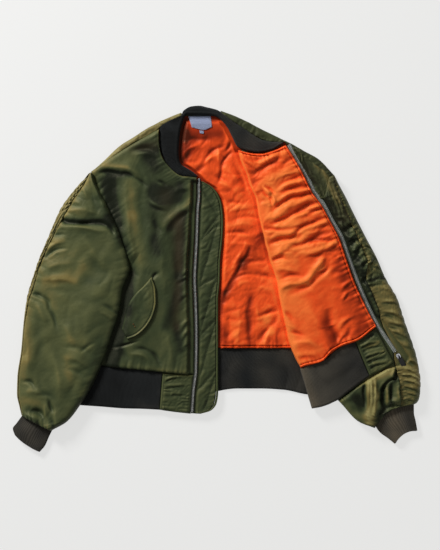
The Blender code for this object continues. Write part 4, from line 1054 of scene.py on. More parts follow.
def distance_to(line, points):
    """Distance from each plan point to an open line, above zero on the line's left side."""
    line = np.array(line, float)
    flat = points.reshape(-1, 2)
    best = np.full(len(flat), 1e9)
    side = np.ones(len(flat))
    squarest = np.zeros(len(flat))
    for a, b in zip(line[:-1], line[1:]):
        run = b - a
        t = np.clip(((flat - a) @ run) / max(run @ run, 1e-9), 0, 1)
        away = flat - (a + t[:, None] * run)
        length = np.hypot(away[:, 0], away[:, 1])
        cross = run[0] * (flat[:, 1] - a[1]) - run[1] * (flat[:, 0] - a[0])
        square = np.abs(cross) / np.hypot(run[0], run[1])
        nearer = (length < best - 1e-6) | ((length < best + 1e-6) & (square > squarest))
        best = np.where(nearer, length, best)
        side = np.where(nearer, np.sign(cross), side)
        squarest = np.where(nearer, square, squarest)
    return (best * side).reshape(points.shape[:-1])


def line_length(table):
    """Length used by rows_at for the whole table."""
    table = np.array(table, float)
    steps = np.hypot(np.diff(table[:, 0]), np.diff(table[:, 1]))
    return float(np.maximum(steps, 1.0).sum())


def level_rows(table, first, last, count):
    """Horizontal rows of the body between two heights."""
    table = np.array(table, float)
    height = np.linspace(first, last, count)
    left = np.interp(height, table[:, 0], table[:, 1])
    right = np.interp(height, table[:, 0], table[:, 2])
    return np.stack([left, height, right, height], axis=1)


def from_window_sides(points):
    """Distances from the left and the right side of the open window, above zero inside."""
    table = np.array(WINDOW, float)
    x, y = points[..., 0], points[..., 1]
    left, right = (np.interp(y, table[:, 0], table[:, k]) for k in (1, 2))
    return x - left, right - x


def window_clear(points):
    """0 where another piece lies close on the back lining, 1 well inside the open window."""
    from_left, from_right = from_window_sides(points)
    below_collar = ease((UNDER_COLLAR - points[..., 1]) / 15)
    clear = ease((np.minimum(from_left, WINDOW_TOP - points[..., 1]) - 1) / 12)
    return np.minimum(clear, ease((from_right - 1 + 10 * below_collar) / (9 - 3 * below_collar)))


def label_clear(points):
    """0 under the neck label, 1 away from it."""
    x, y = points[..., 0], points[..., 1]
    left, right, bottom = LABEL_AREA
    away = np.maximum(np.maximum(left - x, x - right), bottom - y)
    return ease((away + 2) / 24)


def hung(points, fractions):
    """Lower the last rows of the open front to its wavy bottom edge."""
    share, drop = np.array(OPEN_HEM).T
    fractions = np.broadcast_to(fractions, points.shape[:-1])
    k = np.clip(np.searchsorted(share, fractions, side="right") - 1, 0, len(share) - 2)
    part_way = ease((fractions - share[k]) / (share[k + 1] - share[k]))
    steps = np.linalg.norm(np.diff(points, axis=0), axis=-1)
    away = np.vstack([np.cumsum(steps[::-1], axis=0)[::-1], np.zeros((1, points.shape[1]))])
    lowered = points.copy()
    lowered[..., 1] -= (drop[k] + (drop[k + 1] - drop[k]) * part_way) * np.exp(-away / HANG_FADE)
    return lowered


def front_clear(points):
    """0 under the right sleeve, 1 where the right front is free."""
    sleeve_edge = columns_of(SLEEVE_RIGHT[ARMPIT_ROWS], 3)
    below = distance_to(sleeve_edge, points) - 3
    return np.maximum(ease((points[..., 1] - 30) / 35), ease(below / 30))


def sleeve_cover(points):
    """0 where the open front, its hem and its zip lie on the left sleeve, 1 where it is free."""
    line = columns_of(OPEN_FRONT[3:11], 4) + COVER_BELOW
    by_hem = ease((COVER_HEM_FROM - points[..., 1]) / 12)
    return ease((distance_to(line, points) - 8 + 10 * by_hem) / (12 - 7 * by_hem))


def no_cover(points):
    """Every point is free."""
    return np.ones(points.shape[:-1])


def zip_x(height):
    """Where the right zip line runs at a height on the plan."""
    line = np.array(ZIP_RIGHT[::-1], float)
    return np.interp(height, line[:, 1], line[:, 0])


def beside(line, count, half_width):
    """Rows across a line, from its left side to its right side going down the line."""
    centre = even_rows(line, count)
    normal = line_frame(centre)[1]
    return np.hstack([centre - normal * half_width, centre + normal * half_width])


def columns_of(table, first):
    """A line down one side of a table."""
    return [tuple(row[first : first + 2]) for row in table]


def noise(u, v, seed):
    """Smooth random field between about -1 and 1, one bump to a unit."""
    dice = np.random.default_rng(seed)
    order = dice.permutation(256)
    turns = dice.uniform(0, 2 * math.pi, 256)
    u, v = np.broadcast_arrays(np.asarray(u, float), np.asarray(v, float))
    column, row = np.floor(u).astype(int), np.floor(v).astype(int)
    u, v = u - column, v - row
    fade_u = u**3 * (u * (u * 6 - 15) + 10)
    fade_v = v**3 * (v * (v * 6 - 15) + 10)
    total = np.zeros(u.shape)
    for du in (0, 1):
        for dv in (0, 1):
            turn = turns[order[(order[(column + du) % 256] + row + dv) % 256]]
            slope = np.cos(turn) * (u - du) + np.sin(turn) * (v - dv)
            share = (fade_u if du else 1 - fade_u) * (fade_v if dv else 1 - fade_v)
            total += share * slope
    return 1.6 * total


def wander(points, size, amount, seed):
    """Plan points pushed about a little, so that lines drawn on them waver."""
    x, y = points[..., 0] / size, points[..., 1] / size
    return points + amount * np.stack([noise(x, y, seed), noise(x, y, seed + 1)], axis=-1)


def wrinkles(points, size, rise, seed, turn=0.0, stretch=2.0):
    """Rounded bulges parted by narrow hollows, drawn out along a direction in degrees."""
    c, s = math.cos(math.radians(turn)), math.sin(math.radians(turn))
    spread_out = wander(points, 1.6 * size, 0.5 * size, seed + 7)
    x, y = spread_out[..., 0], spread_out[..., 1]
    field = noise((x * c + y * s) / (size * stretch), (y * c - x * s) / size, seed)
    return rise * (1.8 * np.sqrt(field**2 + 0.004) - 0.6)


def folds(table, points, shift=(0.0, 0.0)):
    """Height of ridges and creases along short bent lines, moved by a shift."""
    points = points - np.array(shift)
    height = np.zeros(points.shape[:-1])
    for x1, y1, x2, y2, bow, half_width, rise, lean in table:
        run = np.array((x2 - x1, y2 - y1), float)
        length = np.linalg.norm(run)
        run /= length
        offset = points - np.array((x1, y1), float)
        along = offset @ run
        t = np.clip(along / length, 0, 1)
        side = (offset @ np.array((-run[1], run[0])) - 4 * bow * t * (1 - t)) / half_width
        past = (along - t * length) / half_width
        away = side**2 + past**2
        ridge = np.exp(0.3 - 1.5 * np.sqrt(away + 0.04))
        crease = np.exp(1 - (1 + 1.6 * away) ** 0.75)
        even = ridge if rise > 0 else crease
        slanted = 1.4 * side * np.exp(0.5 - away)
        taper = np.sin(math.pi * (0.1 + 0.8 * t))
        height += rise * taper * ((1 - abs(lean)) * even + lean * slanted)
    return height


def edge_distances(points):
    """Distances of grid points from the start, the end, the first row and the last row."""
    width = np.linalg.norm(np.diff(points[..., :2], axis=1), axis=-1)
    length = np.linalg.norm(np.diff(points[..., :2], axis=0), axis=-1)
    from_start = np.pad(np.cumsum(width, axis=1), ((0, 0), (1, 0)))
    from_first = np.pad(np.cumsum(length, axis=0), ((1, 0), (0, 0)))
    return (
        from_start,
        from_start[:, -1:] - from_start,
        from_first,
        from_first[-1:, :] - from_first,
    )


def rounding(points, radius, drop):
    """How far the top sinks near the four edges: start, end, first row, last row."""
    sink = np.zeros(points.shape[:-1])
    for away, r, d in zip(edge_distances(points), radius, drop):
        near = 1 - np.clip(away / r, 0, 1)
        sink = np.maximum(sink, d * (1 - np.sqrt(1 - near**2)))
    return sink


def puckers(along, away, pitch, reach, rise, seed):
    """Small gathers that run in from a seam, each with its own length and height."""
    phase = along / pitch + 0.9 * noise(along / (2.7 * pitch), 0.5 + 0 * along, seed)
    lot = np.random.default_rng(seed).uniform(0.35, 1.0, 512)
    own = lot[np.floor(phase).astype(int) % 512]
    return rise * own * np.abs(np.sin(math.pi * phase)) ** 0.8 * np.exp(-away / (reach * own))


def blurred(field, size):
    """Field averaged over a square of grid steps, three times."""
    for _ in range(3):
        for axis in (0, 1):
            wide = np.pad(field, [(size, size) if a == axis else (0, 0) for a in (0, 1)], "edge")
            total = np.cumsum(wide, axis=axis)
            total = np.insert(total, 0, 0.0, axis=axis)
            count = field.shape[axis]
            upper = np.take(total, np.arange(2 * size + 1, 2 * size + 1 + count), axis=axis)
            lower = np.take(total, np.arange(count), axis=axis)
            field = (upper - lower) / (2 * size + 1)
    return field


def slopes(top):
    """Unit normals of a grid of points, upwards."""
    rows, columns = np.gradient(top, axis=0), np.gradient(top, axis=1)
    normal = np.cross(rows, columns)
    normal /= np.maximum(np.linalg.norm(normal, axis=-1, keepdims=True), 1e-9)
    return normal * np.where(normal[..., 2:] < 0, -1, 1)


def mixed(swatches, amount):
    """Colour along a list of swatches, 0 at the first and 1 at the last."""
    swatches = np.array(swatches)
    amount = np.clip(amount, 0, 1) * (len(swatches) - 1)
    k = np.minimum(amount.astype(int), len(swatches) - 2)
    share = (amount - k)[..., None]
    return swatches[k] * (1 - share) + swatches[k + 1] * share


def shades(table, points):
    """Sum of soft shades along short lines: start, end, half width and strength."""
    total = np.zeros(points.shape[:-1])
    for x1, y1, x2, y2, half_width, strength in table:
        run = np.array((x2 - x1, y2 - y1), float)
        offset = points - np.array((x1, y1), float)
        share = np.clip(offset @ run / (run @ run), 0, 1)
        away = np.linalg.norm(offset - share[..., None] * run, axis=-1)
        total += strength * np.exp(-((away / half_width) ** 2))
    return total


def grid_faces(n, m, first, flip=False):
    """Quads of a grid whose points start at a given index."""
    corner = first + np.arange(n - 1)[:, None] * m + np.arange(m - 1)[None, :]
    quads = np.stack([corner, corner + 1, corner + m + 1, corner + m], axis=-1).reshape(-1, 4)
    return (quads[:, ::-1] if flip else quads).tolist()


def linked(name, data):
    """New object in the scene."""
    made = bpy.data.objects.new(name, data)
    bpy.context.scene.collection.objects.link(made)
    return made


def add_mesh(name, points, faces, material, colours=None, sharp=55.0):
    """Object from points in mm, smooth except over sharp edges, with a tint at each point."""
    mesh = bpy.data.meshes.new(name)
    mesh.from_pydata((np.asarray(points, float) * MM).tolist(), [], faces)
    mesh.validate()
    mesh.update()
    if colours is not None:
        tint = mesh.color_attributes.new("tint", "FLOAT_COLOR", "POINT")
        rgba = np.ones((len(points), 4), np.float32)
        rgba[:, :3] = colours
        tint.data.foreach_set("color", rgba.ravel())
    mesh.shade_smooth()
    mesh.set_sharp_from_angle(angle=math.radians(sharp))
    mesh.materials.append(material)
    return linked(name, mesh)


def raised(points, heights):
    """Plan points with their heights as (rows, columns, 3)."""
    heights = np.broadcast_to(heights, points.shape[:-1])
    return np.concatenate([points, heights[..., None]], axis=-1)


def end_cap(points, over, under):
    """Triangles between the upper and lower lines of points at one end of a panel."""
    shares = []
    for line in (over, under):
        steps = np.linalg.norm(np.diff(points[line][:, :2], axis=0), axis=1)
        run = np.concatenate([[0.0], np.cumsum(steps)])
        shares.append(run / run[-1])
    a, b, faces = 0, 0, []
    while a < len(over) - 1 or b < len(under) - 1:
        over_next = a < len(over) - 1 and (
            b == len(under) - 1 or shares[0][a + 1] <= shares[1][b + 1]
        )
        if over_next:
            faces.append((over[a], over[a + 1], under[b]))
            a += 1
        else:
            faces.append((over[a], under[b + 1], under[b]))
            b += 1
    return faces


def closed(name, top, bottom, material, colours):
    """Closed piece between a top grid and a bottom grid with the same number of rows."""
    (n, m), k = top.shape[:2], bottom.shape[1]
    base = n * m
    points = np.concatenate([top.reshape(-1, 3), bottom.reshape(-1, 3)])
    faces = grid_faces(n, m, 0) + grid_faces(n, k, base, flip=True)
    for i in range(n - 1):
        over, under = i * m, base + i * k
        faces.append((over, over + m, under + k, under))
        over, under = over + m - 1, under + k - 1
        faces.append((over, under, under + k, over + m))
    for i in (0, n - 1):
        over = [i * m + j for j in range(m)]
        under = [base + i * k + j for j in range(k)]
        faces += end_cap(points, over, under)
    # The underside takes each row's first colour, darker: painted shade under the piece.
    shaded_under_colours = np.repeat(colours[:, :1], k, axis=1) * 0.8
    tints = np.concatenate([colours.reshape(-1, 3), shaded_under_colours.reshape(-1, 3)])
    made = add_mesh(name, points, faces, material, tints)
    face_out(made)
    return made


def face_out(made):
    """Turn every face of a closed mesh outwards."""
    shaped = bmesh.new()
    shaped.from_mesh(made.data)
    bmesh.ops.recalc_face_normals(shaped, faces=shaped.faces)
    shaped.to_mesh(made.data)
    shaped.free()


def put(made, body, slot, *nodes):
    """Ride a piece on its body and let it stand for its solids; the slot is not used."""
    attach(made, body)
    if nodes:
        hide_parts(*nodes)


def node(tree, kind, **settings):
    """Add a shader node and set its properties."""
    made = tree.nodes.new(kind)
    for name, value in settings.items():
        setattr(made, name, value)
    return made


def texture(tree, kind, scale, detail=None, stretch=None, turn=0.0):
    """Texture node on object coordinates, scale in repeats to a metre."""
    made = node(tree, kind)
    made.inputs["Scale"].default_value = scale
    if detail is not None:
        made.inputs["Detail"].default_value = detail
    coordinates = node(tree, "ShaderNodeTexCoord").outputs["Object"]
    if stretch or turn:
        mapping = node(tree, "ShaderNodeMapping")
        mapping.inputs["Scale"].default_value = stretch or (1, 1, 1)
        mapping.inputs["Rotation"].default_value = (0, 0, math.radians(turn))
        tree.links.new(coordinates, mapping.inputs["Vector"])
        coordinates = mapping.outputs["Vector"]
    tree.links.new(coordinates, made.inputs["Vector"])
    return made


def mapped(tree, source, low, high):
    """A texture's 0 to 1 turned into low to high."""
    made = node(tree, "ShaderNodeMapRange")
    made.inputs["To Min"].default_value = low
    made.inputs["To Max"].default_value = high
    tree.links.new(source, made.inputs["Value"])
    return made.outputs["Result"]


def scaled_colour(tree, colour, *layers):
    """A colour multiplied by textures, each one's 0 to 1 turned into low to high."""
    for source, low, high in layers:
        made = node(tree, "ShaderNodeVectorMath", operation="SCALE")
        tree.links.new(colour, made.inputs[0])
        tree.links.new(mapped(tree, source, low, high), made.inputs["Scale"])
        colour = made.outputs["Vector"]
    return colour


def two_tone(tree, source, dark, pale, start=0.0, stop=1.0):
    """Colour from dark to pale as a texture goes from start to stop."""
    ramp = node(tree, "ShaderNodeValToRGB")
    for element, colour, position in zip(ramp.color_ramp.elements, (dark, pale), (start, stop)):
        element.color = (*colour, 1)
        element.position = position
    tree.links.new(source, ramp.inputs["Fac"])
    return ramp.outputs["Color"]


def bump(tree, height, distance, strength, under=None):
    """Bump node over an earlier bump."""
    made = node(tree, "ShaderNodeBump")
    made.inputs["Distance"].default_value = distance
    made.inputs["Strength"].default_value = strength
    tree.links.new(height, made.inputs["Height"])
    if under:
        tree.links.new(under, made.inputs["Normal"])
    return made.outputs["Normal"]


def start_material(name, **sockets):
    """New material with constants on its Principled shader's own sockets, and its node tree."""
    material = bpy.data.materials.new(name)
    material.use_nodes = True
    shader = material.node_tree.nodes["Principled BSDF"]
    for socket, value in sockets.items():
        shader.inputs[socket.replace("_", " ")].default_value = value
    return material, material.node_tree


def finish_material(material, colour, gloss, relief):
    """Link colour, roughness and relief to the material's shader."""
    tree = material.node_tree
    shader = tree.nodes["Principled BSDF"]
    tree.links.new(colour, shader.inputs["Base Color"])
    tree.links.new(gloss, shader.inputs["Roughness"])
    tree.links.new(relief, shader.inputs["Normal"])
    return material


def woven(name, weave_turn, roughness, creasing, **sockets):
    """Satin or twill cloth: tint by vertex, fine weave, uneven gloss and small creases."""
    material, tree = start_material(name, **sockets)
    tint = node(tree, "ShaderNodeVertexColor", layer_name="tint").outputs["Color"]
    weave = texture(tree, "ShaderNodeTexWave", 420, 1.0, turn=weave_turn).outputs["Fac"]
    slubs = texture(tree, "ShaderNodeTexNoise", 900, 1.0, (1, 0.2, 1), weave_turn).outputs["Fac"]
    clouds = texture(tree, "ShaderNodeTexNoise", 22, 3.0).outputs["Fac"]
    small = texture(tree, "ShaderNodeTexNoise", 150, 4.0).outputs["Fac"]
    layers = ((weave, 0.93, 1.05), (slubs, 0.88, 1.10), (clouds, 0.84, 1.16))
    gloss = mapped(tree, clouds, roughness - 0.07, roughness + 0.09)
    relief = bump(tree, small, 0.0022 * creasing, 0.5)
    relief = bump(tree, weave, 0.00006, 0.5, relief)
    relief = bump(tree, slubs, 0.00008, 0.5, relief)
    return finish_material(material, scaled_colour(tree, tint, *layers), gloss, relief)


def knitted(name, **sockets):
    """Rib knit: matt, with small loops along each rib."""
    material, tree = start_material(name, **sockets)
    tint = node(tree, "ShaderNodeVertexColor", layer_name="tint").outputs["Color"]
    loops = texture(tree, "ShaderNodeTexVoronoi", 900).outputs["Distance"]
    fuzz = texture(tree, "ShaderNodeTexNoise", 420, 4.0).outputs["Fac"]
    patchy = texture(tree, "ShaderNodeTexNoise", 30, 2.0).outputs["Fac"]
    layers = ((loops, 1.15, 0.75), (patchy, 0.82, 1.2), (fuzz, 0.85, 1.15))
    relief = bump(tree, loops, 0.0003, 0.6, bump(tree, fuzz, 0.0006, 0.5))
    gloss = mapped(tree, fuzz, 0.8, 1.0)
    return finish_material(material, scaled_colour(tree, tint, *layers), gloss, relief)


def plain_tape(name, colour, ribs_to_metre, specular=0.4):
    """Narrow woven tape, thread or label with one colour."""
    material, tree = start_material(name, Specular_IOR_Level=specular)
    ribs = texture(tree, "ShaderNodeTexWave", ribs_to_metre, 1.0, turn=35).outputs["Fac"]
    soil = texture(tree, "ShaderNodeTexNoise", 120, 4.0).outputs["Fac"]
    dark, pale = ([part * c for c in colour] for part in (0.62, 1.1))
    patchy = two_tone(tree, mapped(tree, soil, 0.35, 0.85), dark, pale)
    shade = scaled_colour(tree, patchy, (ribs, 0.85, 1.05))
    gloss, relief = mapped(tree, soil, 0.7, 0.95), bump(tree, ribs, 0.00015, 0.7)
    return finish_material(material, shade, gloss, relief)


def metal(name, colour, roughness):
    """Worn die-cast metal: scratches in the gloss and darker hollows."""
    material, tree = start_material(name, Metallic=0.72)
    wear = texture(tree, "ShaderNodeTexNoise", 260, 6.0).outputs["Fac"]
    scratches = texture(tree, "ShaderNodeTexNoise", 500, 3.0, (1, 0.12, 1), 28).outputs["Fac"]
    worn = two_tone(tree, wear, [0.5 * c for c in colour], colour, 0.3, 0.62)
    gloss = mapped(tree, scratches, roughness - 0.1, roughness + 0.15)
    return finish_material(material, worn, gloss, bump(tree, scratches, 0.00005, 0.5))


NYLON = woven(
    "nylon_satin", weave_turn=38, roughness=0.52, creasing=0.35,
    Specular_IOR_Level=0.25, Specular_Tint=(1.0, 0.93, 0.62, 1),
    Sheen_Weight=0.07, Sheen_Roughness=0.45, Sheen_Tint=(0.75, 0.70, 0.36, 1),
)
LINING = woven(
    "lining_satin", weave_turn=-30, roughness=0.46, creasing=0.45,
    Specular_IOR_Level=0.28, Specular_Tint=(1.0, 0.62, 0.34, 1),
    Sheen_Weight=0.04, Sheen_Roughness=0.40, Sheen_Tint=(1.0, 0.55, 0.25, 1),
)
KNIT = knitted("rib_knit", Specular_IOR_Level=0.18, Sheen_Weight=0.06, Sheen_Roughness=0.5)
TAPE_DARK = plain_tape("zip_tape_dark", (0.040, 0.043, 0.036), 300, 0.3)
TAPE_GREY = plain_tape("zip_tape_grey", (0.27, 0.30, 0.26), 300, 0.3)
THREAD_GREEN = plain_tape("thread_green", (0.034, 0.044, 0.018), 1500)
THREAD_BROWN = plain_tape("thread_brown", (0.17, 0.060, 0.014), 1500)
THREAD_WHITE = plain_tape("thread_white", (0.55, 0.57, 0.62), 1500)
LABEL_CLOTH = plain_tape("label_weave", (0.30, 0.345, 0.50), 700, 0.35)
PULL_WEB = plain_tape("pull_web", (0.020, 0.019, 0.018), 500, 0.45)
TEETH = metal("zip_teeth", (0.80, 0.81, 0.78), 0.45)
SLIDER = metal("slider_plate", (0.93, 0.95, 1.0), 0.34)


def towards_light(top):
    """How far each point of a grid leans to the upper left, about -1 to 1."""
    normal = slopes(top)
    return 0.72 * normal[..., 1] - 0.70 * normal[..., 0]


def hollow(top):
    """How far each point lies under its surroundings, mm."""
    return np.clip(blurred(top[..., 2], 3) - top[..., 2], -1.6, 2.6)


def lit(top, amount, lean, mottles, seed):
    """How pale the satin is painted: painted light on slopes to the light, painted shade in
    creases, mottled by noise.
    """
    x, y = top[..., 0], top[..., 1]
    amount = amount + lean * towards_light(top) - 0.09 * hollow(top)
    for k, (size, strength) in enumerate(mottles):
        amount = amount + strength * noise(x / size, y / size, seed + k)
    return amount


def nylon_tint(top, painted_light, seed):
    """Green nylon: painted gold sheen on slopes to the light, painted deep green shade in its
    creases.
    """
    amount = lit(top, 0.37 + painted_light, 0.42, ((62, 0.07), (18, 0.04)), seed)
    return mixed([GREEN_DEEP, GREEN, OLIVE, GOLD, STRAW], 0.75 * amount)


def lining_tint(top, painted_light, seed):
    """Orange lining: painted light on slopes to the light, painted shade, redder, in its creases.
    """
    amount = lit(top, 0.63 + painted_light, 0.33, ((50, 0.05), (14, 0.03)), seed)
    return mixed([ORANGE_DARK, ORANGE_DEEP, ORANGE, ORANGE_BRIGHT], amount)


def rib_tint(points, painted_light, depth, mottle, seed):
    """Charcoal knit, paler where painted_light is higher, with painted shade in its grooves."""
    size, strength = mottle
    blot = strength * noise(points[..., 0] / size, points[..., 1] / size, seed)
    return mixed([RIB_DARK, RIB_COOL, RIB_WARM, RIB_PALE], painted_light / 1.5 + blot) * depth[..., None]


def turned(colours, towards, share):
    """Colours turned towards another one by a share at each point."""
    share = np.clip(share, 0, 1)[..., None]
    return colours * (1 - share) + np.array(towards) * share


def brown_nylon(top, painted_light, share, seed):
    """Nylon a little brown all over."""
    return turned(nylon_tint(top, painted_light, seed), BROWN, np.full(top.shape[:2], share))


def fine(length, step=STEP):
    """Number of grid points for a length in mm."""
    return int(math.ceil(length / step)) + 1


def slab(name, material, rows, columns, top, bottom, radius, drop, tint, bottom_at=(0, 1)):
    """Closed piece over rows, each point a fraction of the way across.

    top, bottom: a height, or a function of the plan points
    radius, drop: width and depth of the rounding at the start, end, first row and last row
    tint: function of the points
    bottom_at: fractions of the underside's points
    """
    points = across(rows, columns)
    under = across(rows, np.array(bottom_at, float))
    height = top(points) if callable(top) else np.full(points.shape[:-1], float(top))
    floor = bottom(under) if callable(bottom) else np.full(under.shape[:-1], float(bottom))
    over = raised(points, height - rounding(points, radius, drop))
    return closed(name, over, raised(under, floor), material, tint(over))


def untinted(over):
    """White tint for a piece whose material has its own colour."""
    return np.ones(over.shape)


def back_shell():
    """Outer back panel, flat on the floor."""
    low = level_rows(BODY, BODY[0][0], ARM_TIPS[0], fine(386, 6))
    high = level_rows(BODY, ARM_TIPS[1], BODY[-1][0], fine(157, 4))
    rows = inset(np.vstack([low, high]), 1.5, 1.5)
    made = slab(
        "back_shell_cloth", NYLON, rows, spread(60, 0.3), top=BACK_SHELL[1],
        bottom=BACK_SHELL[0], radius=(6, 6, 6, 6), drop=(3, 3, 3, 3),
        tint=lambda over: nylon_tint(over, 0.0, 21),
    )
    put(made, "jacket", "nylon_green", "back_shell")


def back_lining_height(points):
    """Puffed lining in the open window, plain where it is covered."""
    from_right = from_window_sides(points)[1]
    relief = folds(LINING_FOLDS, wander(points, 42, 4, 31), WINDOW_SHIFT)
    relief += wrinkles(points, 26, 1.3, 32, turn=25, stretch=1.7)
    relief += wrinkles(points, 10, 0.35, 33, turn=60, stretch=1.6)
    puff = np.clip(LINING_PUFF + (0.15 + 0.85 * label_clear(points)) * relief, 0.4, 14.0)
    below_front = FRONT[1] - 0.6 + 12 * ease((from_right - 2) / 10)
    return np.minimum(BACK_LINING[1] + window_clear(points) * puff, below_front)


def back_lining_tint(over, from_seam):
    """Orange with painted shadow by the open front and the flap, and bright along the hem's seam.
    """
    points = over[..., :2]
    fold_edge = np.array(columns_of(OPEN_FRONT, 0)[::-1])
    from_fold = np.interp(points[..., 1], fold_edge[:, 1], fold_edge[:, 0]) - points[..., 0]
    # Painted shadow beside the window's left side and along the open front's fold edge.
    edge_shadow = 0.3 * bell(from_window_sides(points)[0], 0, 11) + 0.5 * bell(from_fold, 0, 6)
    colours = lining_tint(over, shades(WINDOW_SHADES, points) - edge_shadow, 36)
    return turned(colours, BINDING_ORANGE, 0.9 * bell(from_seam, 1.0, 2.0))


def back_lining():
    """Orange back lining, seen between the storm flap and the open front."""
    rows = level_rows(BODY, BODY[0][0], WINDOW[-1][0], fine(541))
    window = level_rows(WINDOW, WINDOW[0][0], WINDOW[-1][0], len(rows))
    wide = rows[:, 2] - rows[:, 0]
    rows = inset(rows, 4, 4)
    start, stop = ((window[:, [k]] - rows[:, [0]]) / wide[:, None] for k in (0, 2))
    inner = start + (stop - start) * np.linspace(0, 1, 72)
    edge = np.zeros((len(rows), 1))
    columns = np.hstack([edge, np.clip(inner, 0.02, 0.98), edge + 1])
    points = across(rows, columns)
    from_seam = edge_distances(points)[2]
    clear = window_clear(points)
    height = back_lining_height(points)
    height += clear * puckers(points[..., 0], from_seam, 13, 16, 2.4, 35)
    height -= clear * 3.6 * bell(from_seam, 4.6, 1.6)
    height -= rounding(points, (5, 5, 4, 5), (1.5, 1.5, 4.0, 1.5))
    over = raised(points, np.maximum(height, BACK_LINING[0] + 0.4))
    under = raised(across(rows, np.array((0.0, 1.0))), BACK_LINING[0])
    made = closed("back_lining_cloth", over, under, LINING, back_lining_tint(over, from_seam))
    put(made, "jacket", "lining_orange", "back_lining")


def front_level(points):
    """Height of the right front without its folds."""
    return FRONT[1] + FRONT_PUFF * front_clear(points)


def front_height(points, away):
    """Right front: flat stitched band along the zip, then puff, folds and gathers."""
    from_start, from_end, from_first, from_last = away
    from_pocket = np.linalg.norm((points - np.array(POCKET_MIDDLE)) / POCKET_SHAPE, axis=-1)
    free = front_clear(points) * ease((from_pocket - 46) / 18)
    relief = folds(FRONT_FOLDS, wander(points, 45, 4, 11), FRONT_SHIFT)
    relief += wrinkles(points, 42, 1.1, 12, turn=78, stretch=2.0)
    relief += wrinkles(points, 12, 0.22, 13, turn=60, stretch=1.8)
    relief += puckers(from_first, from_start, 17, 20, 2.4, 14)
    relief += puckers(from_first, np.abs(from_end - ZIP_BAND), 11, 14, 1.6, 15)
    relief += puckers(from_start, from_last, 13, 18, 2.8, 16)
    height = np.maximum(front_level(points) + free * relief, FRONT[1] - 2)
    band = 1 - ease((from_end - ZIP_BAND) / 9)
    below_neck = ease((NECK_CORNER - points[..., 1]) / 8)
    return height + (ZIP_BAND_TOP - height) * band * below_neck


def front_right():
    """Right front, closed over the body."""
    rows = inset(even_rows(FRONT_RIGHT, fine(640)), -SEAM_LAP, 0.2)
    along = row_runs(rows)[1]
    rows[:, :2] -= 6.0 * along * ease((rows[:, 1:2] - 215) / 40)
    columns, under_columns = spread(fine(225), 0.2), np.linspace(0, 1, 6)
    points = bowed(across(rows, columns), columns, FRONT_BOW)
    under = bowed(across(rows, under_columns), under_columns, FRONT_BOW)
    away = edge_distances(points)
    height = front_height(points, away) - rounding(points, (11, 3, 11, 10), (7, 1.5, 6, 6))
    over = raised(points, height)
    # Paler along the neck edge: painted highlight.
    neck_edge = bell(away[1], 1.5, 2.0) * (points[..., 1] > 240)
    painted_light = shades(FRONT_SHADES, points) + 0.3 * neck_edge
    colours = turned(nylon_tint(over, painted_light, 17), BROWN, shades(FRONT_BROWN, points))
    made = closed("front_right_cloth", over, raised(under, FRONT[0]), NYLON, colours)
    put(made, "jacket", "nylon_green", "front_right_shell")
    return made


def gather_rise(distance, length, start, end):
    """Ridge along a gathered seam: 0 in its grooves, up to 1 on top and 0.6 where it is plain."""
    rise = np.full(distance.shape, PLAIN_RISE)
    here, k = 0.0, 0
    while here < length - 1:
        size = PLAIN_STEP
        if start <= here < end:
            size = GATHER * (1 + 0.22 * math.sin(2.3 * k + 0.6))
            share = (distance - here) / size
            inside = (share >= 0) & (share < 1)
            strength = 0.75 + 0.25 * math.sin(1.7 * k)
            arch = strength * np.sin(math.pi * np.clip(share, 0, 1)) ** 0.55
            rise = np.where(inside, arch, rise)
        here += size
        k += 1
    return rise


def sleeve_back(name, table, gathered, top_height, wrap_count, free, bow, twist, extra, tint):
    """Back sleeve panel turned up over the outline to the gathered seam.

    gathered: where the gathers start and end along the seam
    wrap_count: points across the turned up part
    free: function of the points, 0 where another piece lies on the panel
    bow: how far the cuff's seam bulges
    twist: how far the gathers run on along the edge, and how strong they are
    extra: function of the points and their distance from the seam, its own folds
    """
    length = line_length(columns_of(table, 0))
    at = np.linspace(0, 1, fine(length, 2.0))
    full = rows_at(table, at)
    rows = full[:, [0, 1, 3, 4]]
    wide, along = row_runs(rows)
    stop = body_share(full)
    reach = np.where(stop < NO_CLIMB, stop * wide - 4.0, wide - SEAM - 0.3)[:, None]
    turn = np.minimum(full[:, 2:3], 0.55 * reach)
    rise = gather_rise(at * length, length, *gathered)
    rows[:, :2] -= along * 1.6 * (rise[:, None] - PLAIN_RISE)
    rows[:, 2:] = rows[:, :2] + along * reach
    from_edge = turn * np.linspace(0, 1, wrap_count) ** 1.25
    columns = np.hstack([from_edge, turn + 1.6, 0.5 * (turn + reach), reach]) / reach
    points = bowed(across(rows, columns), columns, bow, last=True)
    arch = np.sqrt(1 - (1 - np.clip(from_edge / np.minimum(turn, EDGE_RADIUS), 0, 1)) ** 2)
    twisted = gather_rise((at * length)[:, None] + twist[0] * from_edge, length, *gathered)
    ridge = twist[1] * GATHER_RISE * (twisted - PLAIN_RISE) * (0.35 + 0.65 * arch)
    from_seam = turn - from_edge
    relief = arch * extra(points[:, :wrap_count], from_seam) - bell(from_seam, 0, 2.4)
    height = np.full(points.shape[:-1], SLEEVE_BACK[1])
    height[:, :wrap_count] = EDGE_FOOT + (top_height - EDGE_FOOT) * arch + ridge + relief
    height -= rounding(points, (1, 3, 8, 7), (0, 2, 6, 4))
    height = np.maximum(np.minimum(height, UNDER_OPEN_FRONT + 30 * free(points)), 0.8)
    under_columns = np.linspace(0, 1, 6)
    under = bowed(across(rows, under_columns), under_columns, bow, last=True)
    over = raised(points, height)
    made = closed(name + "_cloth", over, raised(under, SLEEVE_BACK[0]), NYLON, tint(over))
    put(made, "jacket", "nylon_gold", name)


def crumpled_relief(points):
    """Crumples of the left sleeve at the elbow, the same on both of its panels."""
    crumpled = ease((points[..., 1] + 40) / 50) * ease((170 - points[..., 1]) / 50)
    relief = wrinkles(points, 17, 4.0, 53, turn=25, stretch=1.5) - 1.0
    return crumpled * (relief + wrinkles(points, 8, 1.8, 58, turn=-35, stretch=1.6))


